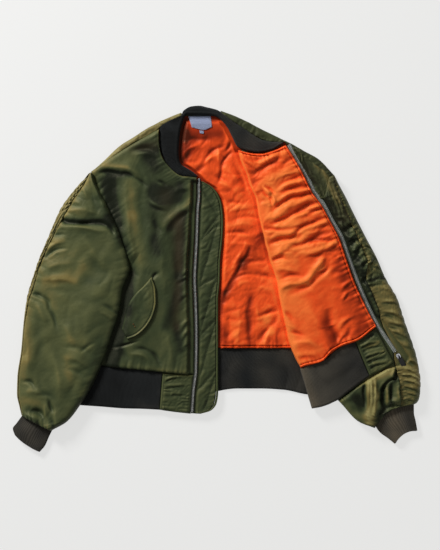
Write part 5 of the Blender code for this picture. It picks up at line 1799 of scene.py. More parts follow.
def left_back_relief(points, from_seam):
    """Soft diagonal folds and the gathers of the left sleeve's back panel, close by the cuff."""
    relief = 1.3 * folds(LEFT_BACK_FOLDS, wander(points, 24, 2.5, 26))
    relief += wrinkles(points, 20, 0.8, 27)
    along = points[..., 1] - 0.3 * points[..., 0]
    by_cuff = ease((-196 - points[..., 1]) / 14)
    relief += by_cuff * (wrinkles(points, 6.5, 2.0, 23, turn=-20, stretch=3.5) + 0.6)
    relief += crumpled_relief(points)
    return relief + puckers(along, from_seam, 8, 10, 3.6, 29)


def left_back_tint(top):
    """Nylon raised to gold as painted sheen, with painted light and shade, a little brown."""
    return brown_nylon(top, 0.32 + shades(LEFT_BACK_SHADES, top[..., :2]), 0.12, 28)


def body_share(full):
    """Share of the way across a sleeve at which it climbs over the body, 1 where it doesn't."""
    return full[:, 5] if full.shape[1] == 6 else np.ones(len(full))


def sleeve_front_rows(table, inner_gap):
    """Rows of a front sleeve panel, where it meets the body, and where each row starts."""
    length = line_length(columns_of(table, 0))
    full = even_rows(table, fine(length))
    rows = full[:, [0, 1, 3, 4]]
    wide, along = row_runs(rows)
    first = np.minimum(full[:, 2], 0.55 * wide) + GROOVE
    start = rows[:, :2] + along * first[:, None]
    end = rows[:, 2:] - along * inner_gap
    meets_body = (body_share(full) * wide - first) / np.maximum(wide - first - inner_gap, 0.1)
    return np.hstack([start, end]), meets_body, (first / wide)[:, None]


def sleeve_right_front():
    """Front panel of the right sleeve; below the armpit it climbs over the body's side."""
    rows, meets_body, _ = sleeve_front_rows(SLEEVE_RIGHT, -SEAM_LAP)
    columns = spread(fine(175), 0.3)
    points = across(rows, columns)
    wide = row_runs(rows)[0]
    lifted = meets_body < NO_CLIMB
    climb = np.where(lifted, np.minimum(meets_body - 4.0 / wide, CLIMB_LIMIT), CLIMB_LIMIT)
    zero, one = np.zeros(len(rows)), np.ones(len(rows))
    under = across(rows, np.stack([zero, climb, climb + 3.2 / wide, one], axis=1))
    climb, lifted = climb[:, None], lifted[:, None].astype(float)
    low = np.full(under.shape[:-1], SLEEVE_FRONT)
    low[:, 2:] += (OVER_BODY - SLEEVE_FRONT) * lifted
    share = np.broadcast_to(columns, points.shape[:-1])
    on_body = ease((share - climb + 0.35) / 0.35) * lifted
    from_start, from_end, from_first, from_last = edge_distances(points)
    dome = RIGHT_SLEEVE_DOME * (4 * share * (1 - share)) ** 0.6
    relief = folds(RIGHT_SLEEVE_FOLDS, wander(points, 45, 4, 41), SLEEVE_SHIFT)
    height = RIGHT_SLEEVE_TOP + RIGHT_SLEEVE_ON_BODY * on_body + dome + relief
    height += wrinkles(points, 40, 1.1, 42, turn=70, stretch=1.8)
    height += wrinkles(points, 12, 0.22, 43, turn=20, stretch=1.8)
    gathers = gather_rise(from_first, line_length(columns_of(SLEEVE_RIGHT, 0)), 40, 360)
    height += 3.2 * (gathers - PLAIN_RISE) * np.exp(-from_start / 16)
    height += puckers(from_first, from_end, 19, 18, 2.0, 44)
    height += puckers(from_start, from_last, 12, 16, 3.4, 45)
    height += puckers(from_start, from_first, 14, 14, 1.8, 46)
    height -= rounding(points, (5, 15, 11, 12), (1.6, 10, 5, 4))
    floor = SLEEVE_FRONT + (OVER_BODY - SLEEVE_FRONT) * (share > climb) * lifted
    over = raised(points, np.maximum(height, floor + 1.2))
    # Paler along the gathered outer seam: painted light in its groove.
    painted_light = 0.10 + shades(RIGHT_SLEEVE_SHADES, points) + 0.16 * bell(from_start, 0, 4)
    colours = nylon_tint(over, painted_light, 47)
    made = closed("sleeve_right_front_cloth", over, raised(under, low), NYLON, colours)
    put(made, "jacket", "nylon_green", "sleeve_right_front")


def sleeve_left_front():
    """Front panel of the left sleeve, plain under the open front."""
    rows, _, first = sleeve_front_rows(SLEEVE_LEFT, -SEAM_LAP)

    def bent(columns):
        """Plan points at these columns, bowed along the cuff's seam."""
        share = first + (1 - first) * columns[None, :]
        return bowed(across(rows, columns), share, SLEEVE_LEFT_BOW, last=True)

    points, under = bent(spread(fine(190), 0.15)), bent(np.linspace(0, 1, 8))
    from_start, _, from_first, from_last = edge_distances(points)
    by_shoulder = ease((points[..., 1] - 140) / 30)
    puff = LEFT_SLEEVE_PUFF + 1.2 * folds(LEFT_SLEEVE_FOLDS, wander(points, 34, 3, 51))
    puff += wrinkles(points, 24, 1.6, 52, turn=15, stretch=1.6)
    puff += crumpled_relief(points)
    puff += 1.6 * by_shoulder * wrinkles(points, 6, 1.0, 57, turn=-55, stretch=4.0)
    puff += puckers(from_start, from_last, 11, 16, 3.0, 54)
    puff += puckers(from_first, from_start, 10, 14, 2.6, 55)
    height = LEFT_SLEEVE_TOP + sleeve_cover(points) * np.maximum(puff, -2.0)
    height -= rounding(points, (6, 7, 9, 13), (2, 5, 5, 6))
    over = raised(points, np.maximum(height, SLEEVE_FRONT + 1.2))
    # Darker along the gathered seam: painted shade over the highlight its edge catches.
    painted_light = shades(LEFT_SLEEVE_SHADES, points) - 0.3 * bell(from_start, 0, 4)
    colours = turned(nylon_tint(over, painted_light, 56), BROWN, shades(LEFT_SLEEVE_BROWN, points))
    made = closed("sleeve_left_front_cloth", over, raised(under, SLEEVE_FRONT), NYLON, colours)
    put(made, "jacket", "nylon_green", "sleeve_left_front")


def cuff_rings(rows, turn, relief, bend, gap, rise, knit):
    """Rings of points round one face of a cuff, a gap in from its sides.

    rise is half its height, and knit is 1 where the ribs stand out and 0 inside.
    """
    flat = np.sign(np.cos(turn)) * np.abs(np.cos(turn)) ** 0.8
    tall = np.sign(np.sin(turn)) * np.abs(np.sin(turn)) ** 0.6
    rings = []
    for i, row in enumerate(rows):
        a, b, bow = row[0:2], row[2:4], row[4]
        middle, half = (a + b) / 2, np.linalg.norm(b - a) / 2
        along = (b - a) / (2 * half)
        upward = np.array((-along[1], along[0])) * np.sign(along[0])
        hem = 1 - 0.75 * math.exp(-i / 1.6)
        wave = 1.3 * knit * np.sin(3.2 * flat + bend + 0.16 * i) * np.clip(tall, 0, 1)
        lift = (rise + knit * relief) * (0.72 + 0.28 * hem) * tall + wave
        spot = middle + along * ((half - gap + 0.4 * knit * relief) * flat)[:, None]
        spot = spot + upward * (bow * (1 - flat * flat))[:, None]
        rings.append(np.column_stack([spot, np.maximum(CUFF_MIDDLE + lift, 0.15)]))
    return np.array(rings)


def tube_faces(n, m):
    """Faces of an open tube: n outer rings of m points, then as many inner ones."""
    base, faces = n * m, []
    for i in range(n - 1):
        for j in range(m):
            a, b = i * m + j, i * m + (j + 1) % m
            faces += [(a, b, b + m, a + m), (base + a, base + a + m, base + b + m, base + b)]
    for i in (0, n - 1):
        for j in range(m):
            a, b = i * m + j, i * m + (j + 1) % m
            faces.append((a, b, base + b, base + a))
    return faces


def cuff(name, table, bend, painted_light, tuck_bow=0.0):
    """Ribbed cuff: a flattened knit tube open at the wrist, its ribs running along the arm."""
    rows = even_rows(table, CUFF_ROWS)
    step = np.arange(CUFF_ROWS)
    inwards = rows[0, :2] - rows[6, :2]
    tuck = np.tile(inwards / np.linalg.norm(inwards), 2)
    rows[:, :4] += CUFF_TUCK * np.exp(-step / 2.0)[:, None] * tuck
    rows[:, 4] += tuck_bow * np.exp(-step / 3.0)
    around = CUFF_RIBS * 6
    turn = 2 * math.pi * (np.arange(around) + 0.5) / around
    relief = 0.55 * (np.abs(np.sin(0.5 * CUFF_RIBS * turn)) ** 0.8 - 0.5)
    outer = cuff_rings(rows, turn, relief, bend, gap=0.6, rise=6.8, knit=1.0)
    inner = cuff_rings(rows, turn, relief, bend, gap=4.0, rise=1.6, knit=0.0)
    points = np.concatenate([outer.reshape(-1, 3), inner.reshape(-1, 3)])
    painted_light = painted_light + shades(CUFF_SHADES, outer[..., :2])
    # Darker down each rib's groove: painted shade.
    tints = rib_tint(outer, painted_light, (0.72 + 0.9 * relief)[None, :], (30, 0.07), 61)
    # The inside of the tube is darker still: painted shade.
    tints = np.concatenate([tints.reshape(-1, 3), 0.7 * tints.reshape(-1, 3)])
    made = add_mesh(name + "_knit", points, tube_faces(CUFF_ROWS, around), KNIT, tints)
    face_out(made)
    put(made, "jacket", "rib_charcoal", name)


def open_shell():
    """Open left front: its shell and the hidden layers under it."""
    full = even_rows(OPEN_FRONT, 120)
    rows = inset(full[:, [0, 1, 4, 5]], OPEN_SHELL_INSET, 1.0)
    wide = row_runs(rows)[0]
    side = np.linalg.norm(full[:, 2:4] - full[:, 0:2], axis=1) - OPEN_SHELL_INSET
    step = np.minimum(side, wide - OPEN_SHELL_INSET) / wide
    inner = [step * share for share in (0.0, 0.25, 0.5, 0.75, 1.0)]
    under_columns = np.stack(inner + [step + 3.0 / wide, np.ones(len(rows))], axis=1)
    under = bowed(across(rows, under_columns), under_columns, OPEN_SHELL_BOW)
    on_sleeve = full[:, 5:6] < SIDE_LIFT_FROM
    low = np.full(under.shape[:-1], FRONT[0])
    low[:, len(inner):] += (OPEN_SHELL[0] - FRONT[0]) * on_sleeve
    columns = spread(30)
    points = bowed(across(rows, columns), columns, OPEN_SHELL_BOW)
    over = raised(points, OPEN_SHELL[1] - rounding(points, (3, 5, 5, 5), (1, 2.4, 2.4, 2.4)))
    colours = nylon_tint(over, 0.0, 71)
    made = closed("front_left_shell_cloth", over, raised(under, low), NYLON, colours)
    put(made, "jacket", "nylon_green", "front_left_shell")


def open_lining_height(columns, points, from_start):
    """Puff and folds of the open lining, plain along its fold edge."""
    relief = 1.1 * folds(OPEN_FOLDS, wander(points, 38, 3.5, 81), OPEN_SHIFT)
    crumpled = 0.3 + 0.7 * ease((points[..., 1] - 10) / 60)
    relief += crumpled * wrinkles(points, 30, 2.2, 82, turn=24, stretch=2.2)
    relief += crumpled * wrinkles(points, 11, 0.9, 83, turn=28, stretch=2.2)
    puff = OPEN_PUFF * (4 * np.clip(columns * (1 - columns), 0, 1)) ** 0.6
    return OPEN_TOP + puff + ease((from_start - 1) / 9) * relief


def open_lining_gathers(away, edge, rim):
    """Gathers along the sewn edges, the groove of their seam and the rim of the binding."""
    from_start, from_end, from_first, from_last = away
    gathers = puckers(from_first, np.abs(from_end - BINDING), 12, 20, 4.0, 85)
    gathers += puckers(from_start, np.abs(from_first - BINDING), 11, 13, 2.6, 86)
    gathers += puckers(from_start, np.abs(from_last - BINDING), 13, 15, 3.0, 87)
    return gathers - 2.0 * bell(edge, BINDING + 1, 1.4) + 2.8 * rim


def open_lining():
    """Padded orange lining of the open left front, rolled over its fold edge."""
    rows = even_rows(OPEN_FRONT, fine(570))[:, [0, 1, 4, 5]]
    wide = row_runs(rows)[0][:, None]
    turn = np.linspace(0, 0.5 * math.pi, ROLL_POINTS)
    roll_at = ROLL * (1 - np.cos(turn)) - ROLL_OUT
    rest = roll_at[-1] + (wide - roll_at[-1]) * np.linspace(0, 1, fine(195))[None, 1:]
    columns = np.hstack([np.repeat(roll_at[None, :], len(rows), axis=0), rest]) / wide
    points = hung(bowed(across(rows, columns), columns, OPEN_BOW), columns)
    away = edge_distances(points)
    from_start, from_end, from_first, from_last = away
    height = open_lining_height(columns, points, from_start)
    rolled_up = height[:, ROLL_POINTS - 1 : ROLL_POINTS] - FRONT[0]
    height[:, :ROLL_POINTS] = FRONT[0] + rolled_up * np.sin(turn) ** 0.85
    uneven = 2.2 * noise(from_first / 34, 0.3 + 0 * from_first, 84)[:, :ROLL_POINTS]
    points[:, :ROLL_POINTS, 0] += uneven * (1 - np.linspace(0, 1, ROLL_POINTS))
    edge = np.minimum(np.minimum(from_end, from_first), from_last)
    rim = np.exp(-((edge - 0.5 * BINDING) / (0.55 * BINDING)) ** 4)
    height += open_lining_gathers(away, edge, rim)
    height -= rounding(points, (1, 16, 13, 14), (0, 8.0, 7, 7.5))
    height = np.clip(height, FRONT[0], OPEN_LIMIT)
    height[:, 0] = FRONT[0]
    height[:, ROLL_POINTS - 2 :] = np.maximum(height[:, ROLL_POINTS - 2 :], OPEN_LINING + 0.8)
    near = np.array((1.6, 5.6, 6.0)) / wide
    beyond = np.repeat(np.array((0.25, 0.5, 0.75, 1.0))[None, :], len(rows), axis=0)
    under_columns = np.hstack([near, beyond])
    under = hung(bowed(across(rows, under_columns), under_columns, OPEN_BOW), under_columns)
    low = np.broadcast_to(np.array([FRONT[0]] * 2 + [OPEN_LINING] * 5), under.shape[:-1])
    over = raised(points, height)
    # Paler along the rolled fold edge: painted light.
    painted_light = shades(OPEN_SHADES, points) + 0.06 + 0.35 * bell(from_start, 0, ROLL)
    colours = turned(lining_tint(over, painted_light, 88), BINDING_ORANGE, 0.9 * rim)
    made = closed("front_left_lining_cloth", over, raised(under, low), LINING, colours)
    put(made, "jacket", "lining_orange", "front_left_lining")
    return made


def strip(name, table, painted_light, seed):
    """Back panel rolled over a shoulder."""
    rows = lapped(even_rows(table, fine(260, 2)), 3, sides=4)

    def top(points):
        """Height of its small folds and of the gathers along its seam."""
        from_start, _, from_first, _ = edge_distances(points)
        relief = wrinkles(points, 16, 1.4, seed, turn=40, stretch=2)
        return STRIP_TOP + relief + puckers(from_first, from_start, 9, 8, 1.8, seed + 1)

    made = slab(
        name + "_cloth", NYLON, rows, spread(12), top, bottom=FRONT[0], radius=(3, 9, 5, 5),
        drop=(2.5, 7, 4, 4), tint=lambda over: brown_nylon(over, painted_light, 0.25, seed),
    )
    put(made, "jacket", "nylon_gold", name)


def open_shoulder():
    """The left front's strip beside its zip."""
    rows = lapped(even_rows(OPEN_SHOULDER, fine(150, 1.6)), 1, 6)

    def top(points):
        """Height of its small folds and of the gathers along its seam."""
        from_start, _, from_first, _ = edge_distances(points)
        relief = wrinkles(points, 9, 2.2, 97, turn=-58, stretch=4.0)
        return SHOULDER_TOP + relief + puckers(from_first, from_start, 8, 10, 2.0, 98)

    made = slab(
        "front_left_shoulder_cloth", NYLON, rows, spread(24), top, bottom=FRONT[0],
        radius=(6, 6, 5, 5), drop=(3, 4, 3, 3),
        tint=lambda over: brown_nylon(
            over, shades(SHOULDER_SHADES, over[..., :2]) - 0.04, 0.3, 99
        ),
    )
    put(made, "jacket", "nylon_green", "front_left_shoulder")


def ribbed(name, node_name, table, columns, top, bottom, radius, drop, painted_light, seed):
    """Rib knit band: ribs across its width, pitch RIB, over soft waves.

    bottom is a number or a function of the rows, painted_light the points' painted light and shade.
    """
    table = np.array(table, float)[:, :4]
    middle = 0.5 * (table[:, 0:2] + table[:, 2:4])
    length = np.linalg.norm(np.diff(middle, axis=0), axis=1).sum()
    rows = lapped(even_rows(table, int(length / RIB * 5)))
    points = across(rows, columns)
    from_start, from_end, from_first, _ = edge_distances(points)
    phase = np.linspace(0, length, len(rows))[:, None] / RIB
    relief = 0.75 * (np.abs(np.sin(math.pi * phase)) ** 0.8 - 0.5)
    relief = relief + wrinkles(points, 55, 1.3, seed, turn=80, stretch=1.5)
    relief += puckers(from_first, from_start, 16, 10, 1.4, seed + 1)
    relief += 0.9 * bell(from_end, 4, 3.0) - 0.48 * bell(from_end, 9, 1.2)
    over = raised(points, top + relief - rounding(points, radius, drop))
    under = across(rows, np.array((0.0, 1.0)))
    low = bottom(rows) if callable(bottom) else bottom
    # Darker in the grooves: painted shade.
    depth = 1 - 0.5 * np.clip(hollow(over), 0, 1)
    tints = rib_tint(over, painted_light(points), depth, (45, 0.08), seed + 2)
    made = closed(name, over, raised(under, low), KNIT, tints)
    put(made, "jacket", "rib_charcoal", node_name)
    return made


def collar():
    """Ribbed collar band."""

    def painted_light(points):
        """Painted light and shade, paler towards the left."""
        return 0.14 + 0.52 * ease((points[..., 0] + 100) / 190) + shades(COLLAR_SHADES, points)

    made = ribbed(
        "collar_knit", "collar_rib", COLLAR_RIB, spread(20, 0.4), top=COLLAR_TOP,
        bottom=COLLAR, radius=(9, 8, 4, 4), drop=(6.5, 6, 3, 3), painted_light=painted_light, seed=101,
    )


def hem_left_bottom(rows):
    """The left hem rib hangs lower beside the sleeve than on it."""
    on_sleeve = rows[:, 0] > HEM_ON_SLEEVE
    return (HEM_FRONT + (OPEN_SHELL[0] - HEM_FRONT) * on_sleeve)[:, None]


def hem_left_painted_light(points):
    """Painted light: pale, most of all along the fold of the open front, a little darker beyond x
    270.
    """
    from_fold = points[..., 0] + 0.3 * (points[..., 1] + 250) - 212
    return 0.84 + 0.50 * bell(from_fold, 0, 17) - 0.20 * ease((points[..., 0] - 270) / 60)


def hem_ribs():
    """Ribbed hem of the back and of both fronts."""
    # Painted light of each rib: the back paler towards the wearer's left, the right front darker
    # towards the sleeve as painted shade, the left front by hem_left_painted_light.
    radius, drop = (6, 9, 5, 5), (3.5, 6, 3, 3)
    back = ribbed(
        "hem_back_knit", "hem_rib_back", RIB_BACK, spread(30), HEM_TOPS[0], HEM_BACK[0], radius,
        drop, painted_light=lambda points: 0.59 + 0.06 * ease((points[..., 0] - 60) / 120), seed=111,
    )
    right = ribbed(
        "hem_right_knit", "hem_rib_right", RIB_RIGHT, spread(26), HEM_TOPS[1], HEM_FRONT, radius,
        drop, painted_light=lambda points: 0.12 + 0.40 * ease((points[..., 0] + 250) / 80), seed=114,
    )
    left = ribbed(
        "hem_left_knit", "hem_rib_left", RIB_LEFT, spread(28), HEM_TOPS[2], hem_left_bottom,
        radius, drop, painted_light=hem_left_painted_light, seed=117,
    )


def hem_panel(name, table, level, bottom, seed):
    """Nylon end panel of the hem, gathered along its top and bottom seams."""

    def top(points):
        """Height of its folds and gathers, flat along both seams."""
        from_start, _, from_first, from_last = edge_distances(points)
        relief = 1.4 * folds(PANEL_FOLDS, wander(points, 20, 1.5, seed))
        relief += puckers(from_start, from_first - 6, 9, 16, 3.0, seed + 1)
        relief += puckers(from_start, from_last - 6, 9, 14, 2.6, seed + 2)
        relief += wrinkles(points, 9, 0.7, seed + 3, turn=20, stretch=2)
        return level + ease((np.minimum(from_first, from_last) - 4) / 6) * relief

    made = slab(
        name + "_cloth", NYLON, lapped(even_rows(table, fine(70, 1.4))), spread(64, 0.2), top,
        bottom, radius=(6, 8, 4, 4), drop=(3.5, 5, 2.5, 2.5),
        tint=lambda over: nylon_tint(over, shades(PANEL_SHADES, over[..., :2]), seed + 4),
        bottom_at=np.linspace(0, 1, 4),
    )
    put(made, "jacket", "nylon_green", name)
    return made


def flap_rows(count):
    """Rows of the storm flap from under the zip to its bound edge."""
    edge = even_rows(FLAP_EDGE, count)
    heights = np.linspace(*FLAP_ENDS, count) * 0.35 + edge[:, 1] * 0.65
    return np.hstack([np.stack([zip_x(heights) - UNDER_ZIP, heights], axis=1), edge])


def storm_flap():
    """Quilted flap under the closed zip half, with its bound edge."""
    rows = flap_rows(fine(560, 2.0))
    low = FRONT[0] + 0.2

    def flap_top(points):
        """Height of the quilting and of the gathers along the binding."""
        from_start, from_end, from_first, _ = edge_distances(points)
        quilt = np.abs(distance_to(QUILTING, wander(points, 30, 1.5, 131)))
        puff = 2.4 * (1 - np.exp(-quilt / 6)) + wrinkles(points, 13, 1.0, 132, turn=40, stretch=2.2)
        puff += puckers(from_first, from_end, 9, 10, 1.6, 133)
        return FLAP_TOP + ease((from_start - 9) / 8) * puff

    made = slab(
        "storm_flap_cloth", NYLON, inset(rows, 0.0, BINDING + 0.4), spread(30, 0.2), flap_top,
        low, radius=(3, 3, 3, 3), drop=(0.8, 1.4, 1, 1),
        tint=lambda over: nylon_tint(over, -0.03, 134),
    )
    put(made, "jacket", "nylon_green", "storm_flap")
    edge, along = rows[:, 2:], row_runs(rows)[1]

    def binding_tint(over):
        """Nylon turned towards the binding's clearer green."""
        return turned(nylon_tint(over, 0.0, 135), BINDING_GREEN, np.full(over.shape[:2], 0.4))

    bound = slab(
        "flap_binding_cloth", NYLON, np.hstack([edge - along * BINDING, edge]), spread(9),
        FLAP_BINDING_TOP, low, radius=(2.6, 2.6, 2, 2), drop=(1.8, 3.0, 1, 1), tint=binding_tint,
    )
    put(bound, "jacket", "nylon_green", "flap_binding")
    return made


def pocket_flap():
    """Slanted pocket flap on the right front, its free edge corded."""

    def pocket_top(points):
        """Height over the front: a cord along the free edge, a groove, then puff."""
        from_edge = edge_distances(points)[1]
        cord = 1.6 * bell(from_edge, 2.5, 2.0) - 1.2 * bell(from_edge, 6.5, 1.4)
        relief = folds(POCKET_FOLDS, points) + wrinkles(points, 18, 0.8, 141, turn=60, stretch=2)
        return front_level(points) + POCKET_THICK + cord + ease((from_edge - 6) / 8) * relief

    made = slab(
        "pocket_flap_cloth", NYLON, even_rows(POCKET, fine(160, 2.0)), spread(40), pocket_top,
        bottom=lambda points: front_level(points) + 0.2,
        radius=(5, 4, 3, 3), drop=(3.5, 3.0, 2, 2),
        tint=lambda over: nylon_tint(over, shades(POCKET_SHADES, over[..., :2]), 142),
        bottom_at=np.linspace(0, 1, 8),
    )
    put(made, "jacket", "nylon_green", "pocket_flap")
    return made


def teeth(name, line, low, node_name):
    """Row of die-cast zip teeth, each a stack of outlines that narrows to its top."""
    centre = even_rows(line, int(line_length(line) / TOOTH_PITCH))
    k, rings = len(TOOTH_OUTLINE), len(TOOTH_LEVELS)
    points, faces = [], []
    for middle, run, normal in zip(centre, *line_frame(centre)):
        base = len(points)
        for lift, size in TOOTH_LEVELS:
            for x, y in TOOTH_OUTLINE:
                spot = middle + run * x * size * 1.05 + normal * y * size
                points.append((*spot, low + lift))
        for level in range(rings - 1):
            for j in range(k):
                a, b = base + level * k + j, base + level * k + (j + 1) % k
                faces.append((a, b, b + k, a + k))
        faces.append([base + j for j in range(k)][::-1])
        faces.append([base + (rings - 1) * k + j for j in range(k)])
    made = add_mesh(name, points, faces, TEETH, sharp=40)
    face_out(made)
    put(made, "jacket", "zip_metal", node_name)


def zip_half(side, line, low, tape):
    """Zip half: woven tape with a corded edge, and its teeth."""
    half_width = ZIP_HALF_TAPE + SEAM_LAP
    length = line_length(line)

    def tape_top(points):
        """Height of the tape, thicker where its cord carries the teeth."""
        return low + 1.5 + 0.5 * bell(edge_distances(points)[0], half_width, 1.6)

    made = slab(
        f"zip_tape_{side}_weave", tape, beside(line, fine(length, 3), half_width),
        np.linspace(0, 1, 9), tape_top, low, radius=(0.6, 0.6, 1, 1),
        drop=(0.4, 0.4, 0.3, 0.3), tint=untinted,
    )
    put(made, "jacket", "zip_tape_olive", f"zip_tape_{side}")
    length = MM * length
    teeth(f"zip_teeth_{side}", line, low + 1.9, f"zip_chain_{side}")


def label(name, table, node_name):
    """Bare label lying on the lining."""
    columns = np.linspace(0, 1, 18)
    made = slab(
        name, LABEL_CLOTH, even_rows(table, 30), columns,
        top=lambda points: back_lining_height(points) + 2.2,
        bottom=lambda points: back_lining_height(points) + 1.2,
        radius=(1, 1, 1, 1), drop=(0.3, 0.3, 0.3, 0.3), tint=untinted, bottom_at=columns,
    )
    put(made, "jacket", "label_cloth", node_name)
    return made


def surface_of(*pieces):
    """Ray casting tree over the built pieces."""
    points, faces = [], []
    for piece in pieces:
        first = len(points)
        points += [piece.matrix_world @ v.co for v in piece.data.vertices]
        faces += [[first + k for k in face.vertices] for face in piece.data.polygons]
    return BVHTree.FromPolygons(points, faces)


def laid(tree, x, y):
    """Point and normal where a plan point meets the cloth from above, mm."""
    hit, normal, _, _ = tree.ray_cast(Vector((x * MM, y * MM, 0.2)), Vector((0, 0, -1)))
    if hit is None:
        return None
    return np.array(hit) / MM, np.array(normal)


def stitched(name, line, pitch, thick, material, slot, pieces, sink=0.1):
    """Row of stitches lying on the cloth along a line."""
    tree = surface_of(*pieces)
    count = max(int(line_length(line) / pitch), 3)
    spots = [laid(tree, x, y) for x, y in even_rows(line, count)]
    points, faces = [], []
    for a, b in zip(spots[:-1], spots[1:]):
        if a is None or b is None or abs(a[0][2] - b[0][2]) > pitch:
            continue
        run = b[0] - a[0]
        side = np.cross(run, a[1])
        side /= max(np.linalg.norm(side), 1e-6)
        middle = 0.5 * (a[0] + b[0]) + a[1] * (0.5 * thick - sink)
        first = len(points)
        points += [middle - 0.42 * run, middle + 0.42 * run]
        ring = ((1, 0), (0.5, 0.85), (-0.5, 0.85), (-1, 0), (-0.5, -0.85), (0.5, -0.85))
        points += [middle + 0.5 * thick * (side * u + a[1] * v) for u, v in ring]
        for j in range(6):
            c, d = first + 2 + j, first + 2 + (j + 1) % 6
            faces += [(first, d, c), (first + 1, c, d)]
    made = add_mesh(name, points, faces, material, sharp=80)
    face_out(made)
    put(made, "jacket", slot)


def offset_line(points, distance):
    """Line beside another, at a distance to its left."""
    line = even_rows(points, max(int(line_length(points) / 8), 4))
    return line + distance * line_frame(line)[1]


def stitching(front, lining, flap, pocket, panels, tag):
    """Rows of stitches along the seams that show them."""

    def green_row(name, line, piece):
        """Fine stitches of green thread."""
        stitched(
            name, line, pitch=3.4, thick=0.8, material=THREAD_GREEN, slot="nylon_green",
            pieces=[piece],
        )

    zip_side = columns_of(FRONT_RIGHT[5:], 2)
    for k, gap in enumerate((2.5, ZIP_BAND - 0.5)):
        green_row(f"stitches_zip_band_{k}", offset_line(zip_side, -gap), front)
    line = offset_line(columns_of(OPEN_FRONT, 4)[1:], -BINDING - 1)
    stitched("stitches_lining_side", line, 5.5, 1.3, THREAD_BROWN, "lining_orange", [lining])
    green_row("stitches_flap_edge", offset_line(FLAP_EDGE, -BINDING - 2), flap)
    green_row("stitches_flap_quilting", QUILTING, flap)
    for side, table, panel in zip(("right", "left"), (PANEL_RIGHT, PANEL_LEFT), panels):
        for k, (row, gap) in enumerate(((0, 3), (-1, -3))):
            line = offset_line(table_line(table, row), gap)
            green_row(f"stitches_panel_{side}_{k}", line, panel)
    green_row("stitches_pocket", offset_line(columns_of(POCKET, 2), -6.5), pocket)
    stitched("bartack_pocket", BARTACK, 5.5, 2.6, THREAD_BROWN, "nylon_green", [pocket])
    stitched("stitches_label", LABEL_SEAM, 2.6, 0.6, THREAD_WHITE, "label_cloth", [tag])


def table_line(table, row):
    """A line along one row of a panel's table."""
    return [tuple(table[row][:2]), tuple(table[row][2:4])]


def bevelled(name, node_name, material, body, slot, width):
    """Copy of a metal or web solid with its edges rounded."""
    source = bpy.data.objects[node_name]
    made = linked(name, source.data.copy())
    made.matrix_world = source.matrix_world.copy()
    shaped = bmesh.new()
    shaped.from_mesh(made.data)
    bmesh.ops.remove_doubles(shaped, verts=shaped.verts, dist=0.00002)
    bmesh.ops.dissolve_limit(
        shaped, angle_limit=math.radians(2), verts=shaped.verts, edges=shaped.edges
    )
    edges = [e for e in shaped.edges if e.calc_face_angle(0.0) > math.radians(35)]
    bmesh.ops.bevel(
        shaped, geom=edges, offset=width * MM, segments=3, profile=0.6, affect="EDGES",
        clamp_overlap=True,
    )
    shaped.to_mesh(made.data)
    shaped.free()
    made.data.materials.clear()
    made.data.materials.append(material)
    made.data.shade_smooth()
    made.data.set_sharp_from_angle(angle=math.radians(40))
    put(made, body, slot, node_name)


def floor_piece():
    """Pale paper floor that glows a little, so that it stays even."""
    mesh = bpy.data.meshes.new("floor")
    mesh.from_pydata([(-3, -3, 0), (3, -3, 0), (3, 3, 0), (-3, 3, 0)], [], [(0, 1, 2, 3)])
    material, _ = start_material(
        "paper", Roughness=0.9, Specular_IOR_Level=0.1, Base_Color=(0.20, 0.20, 0.198, 1),
        Emission_Color=(1.0, 1.0, 0.985, 1), Emission_Strength=0.665,
    )
    mesh.materials.append(material)
    return linked("floor", mesh)


def light(name, place, size, power):
    """Square studio lamp turned to the middle of the jacket."""
    lamp = bpy.data.lights.new(name, "AREA")
    lamp.energy, lamp.size = power, size
    made = linked(name, lamp)
    made.location = place
    made.rotation_euler = (-Vector(place)).to_track_quat("-Z", "Y").to_euler()


def stage():
    """Floor, soft studio light from the upper left, and the camera straight above."""
    floor = floor_piece()
    light("key", (-2.5, 2.7, 2.1), size=1.0, power=190.0)
    light("fill", (1.8, -0.8, 2.6), size=2.4, power=8.0)
    world = bpy.data.worlds.new("studio")
    world.use_nodes = True
    background = world.node_tree.nodes["Background"]
    background.inputs["Color"].default_value = (1.0, 1.0, 1.0, 1)
    background.inputs["Strength"].default_value = 0.20
    scene = bpy.context.scene
    scene.world = world
    scene.view_settings.view_transform = "Standard"
    camera = bpy.data.cameras.new("camera")
    camera.sensor_width = 36.0
    camera.lens = camera.sensor_width * CAMERA_HEIGHT / SEEN_HEIGHT
    camera.clip_end = 20.0
    scene.camera = linked("camera", camera)
    scene.camera.location = (*CAMERA_OVER, CAMERA_HEIGHT)


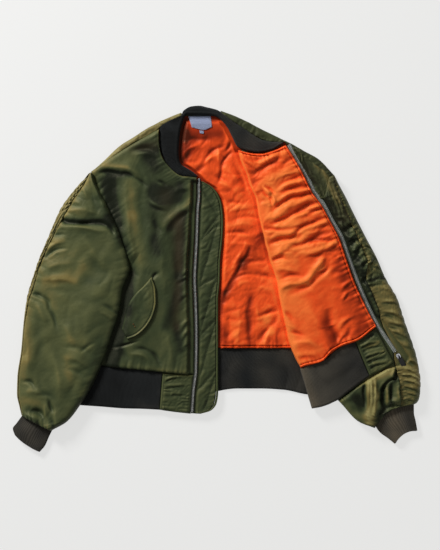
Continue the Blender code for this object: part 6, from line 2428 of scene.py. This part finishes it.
def sleeves():
    """Both panels of each sleeve, and the cuffs."""
    # The back panels' painted light lifts them to gold: painted sheen.
    sleeve_back(
        "sleeve_right_back", SLEEVE_RIGHT, gathered=(0, 360), top_height=20.0, wrap_count=12,
        free=no_cover, bow=(0.0, 0.0), twist=(12.0, 2.1),
        extra=lambda points, from_seam: puckers(points[..., 1], from_seam, 7, 7, 1.4, 25),
        tint=lambda top: brown_nylon(top, 0.30, 0.2, 24),
    )
    sleeve_right_front()
    sleeve_back(
        "sleeve_left_back", SLEEVE_LEFT, gathered=(250, 560), top_height=23.0, wrap_count=30,
        free=sleeve_cover, bow=SLEEVE_LEFT_BOW, twist=(8.0, 0.3), extra=left_back_relief,
        tint=left_back_tint,
    )
    sleeve_left_front()
    # The cuffs' painted light: the left cuff paler than the right.
    cuff("cuff_right", CUFF_RIGHT, bend=0.4, painted_light=0.74)
    cuff("cuff_left", CUFF_LEFT, bend=1.6, painted_light=1.10, tuck_bow=7.0)


def hem_panels():
    """The end panels of the hem on both sides."""
    right = hem_panel(
        "hem_panel_right", PANEL_RIGHT, level=16.5, bottom=HEM_FRONT,
        seed=121,
    )
    left = hem_panel(
        "hem_panel_left", PANEL_LEFT, level=24.5, bottom=OPEN_SHELL[0],
        seed=124,
    )
    return right, left


def build():
    """Every piece, its stitching, and the stage."""
    back_shell()
    back_lining()
    front = front_right()
    sleeves()
    open_shell()
    lining = open_lining()
    # The strips' painted light: the right one paler than the left.
    strip("shoulder_strip_right", STRIP_RIGHT, painted_light=0.46, seed=91)
    strip("shoulder_strip_left", STRIP_LEFT, painted_light=-0.16, seed=94)
    open_shoulder()
    collar()
    hem_ribs()
    panels = hem_panels()
    flap = storm_flap()
    pocket = pocket_flap()
    zip_half("right", ZIP_RIGHT, low=13.8, tape=TAPE_DARK)
    zip_half("left", ZIP_LEFT, low=16.6, tape=TAPE_GREY)
    tag = label("neck_label", LABEL, node_name="label_main")
    label("size_tab", SIZE_TAB, node_name="label_size")
    stitching(front, lining, flap, pocket, panels, tag)
    bevelled("slider_metal_shape", "zip_slider", SLIDER, "jacket", "slider_metal", width=0.5)
    bevelled("pull_web_shape", "zip_pull", PULL_WEB, "pull_tab", "pull_dark", width=0.45)
    stage()


build()
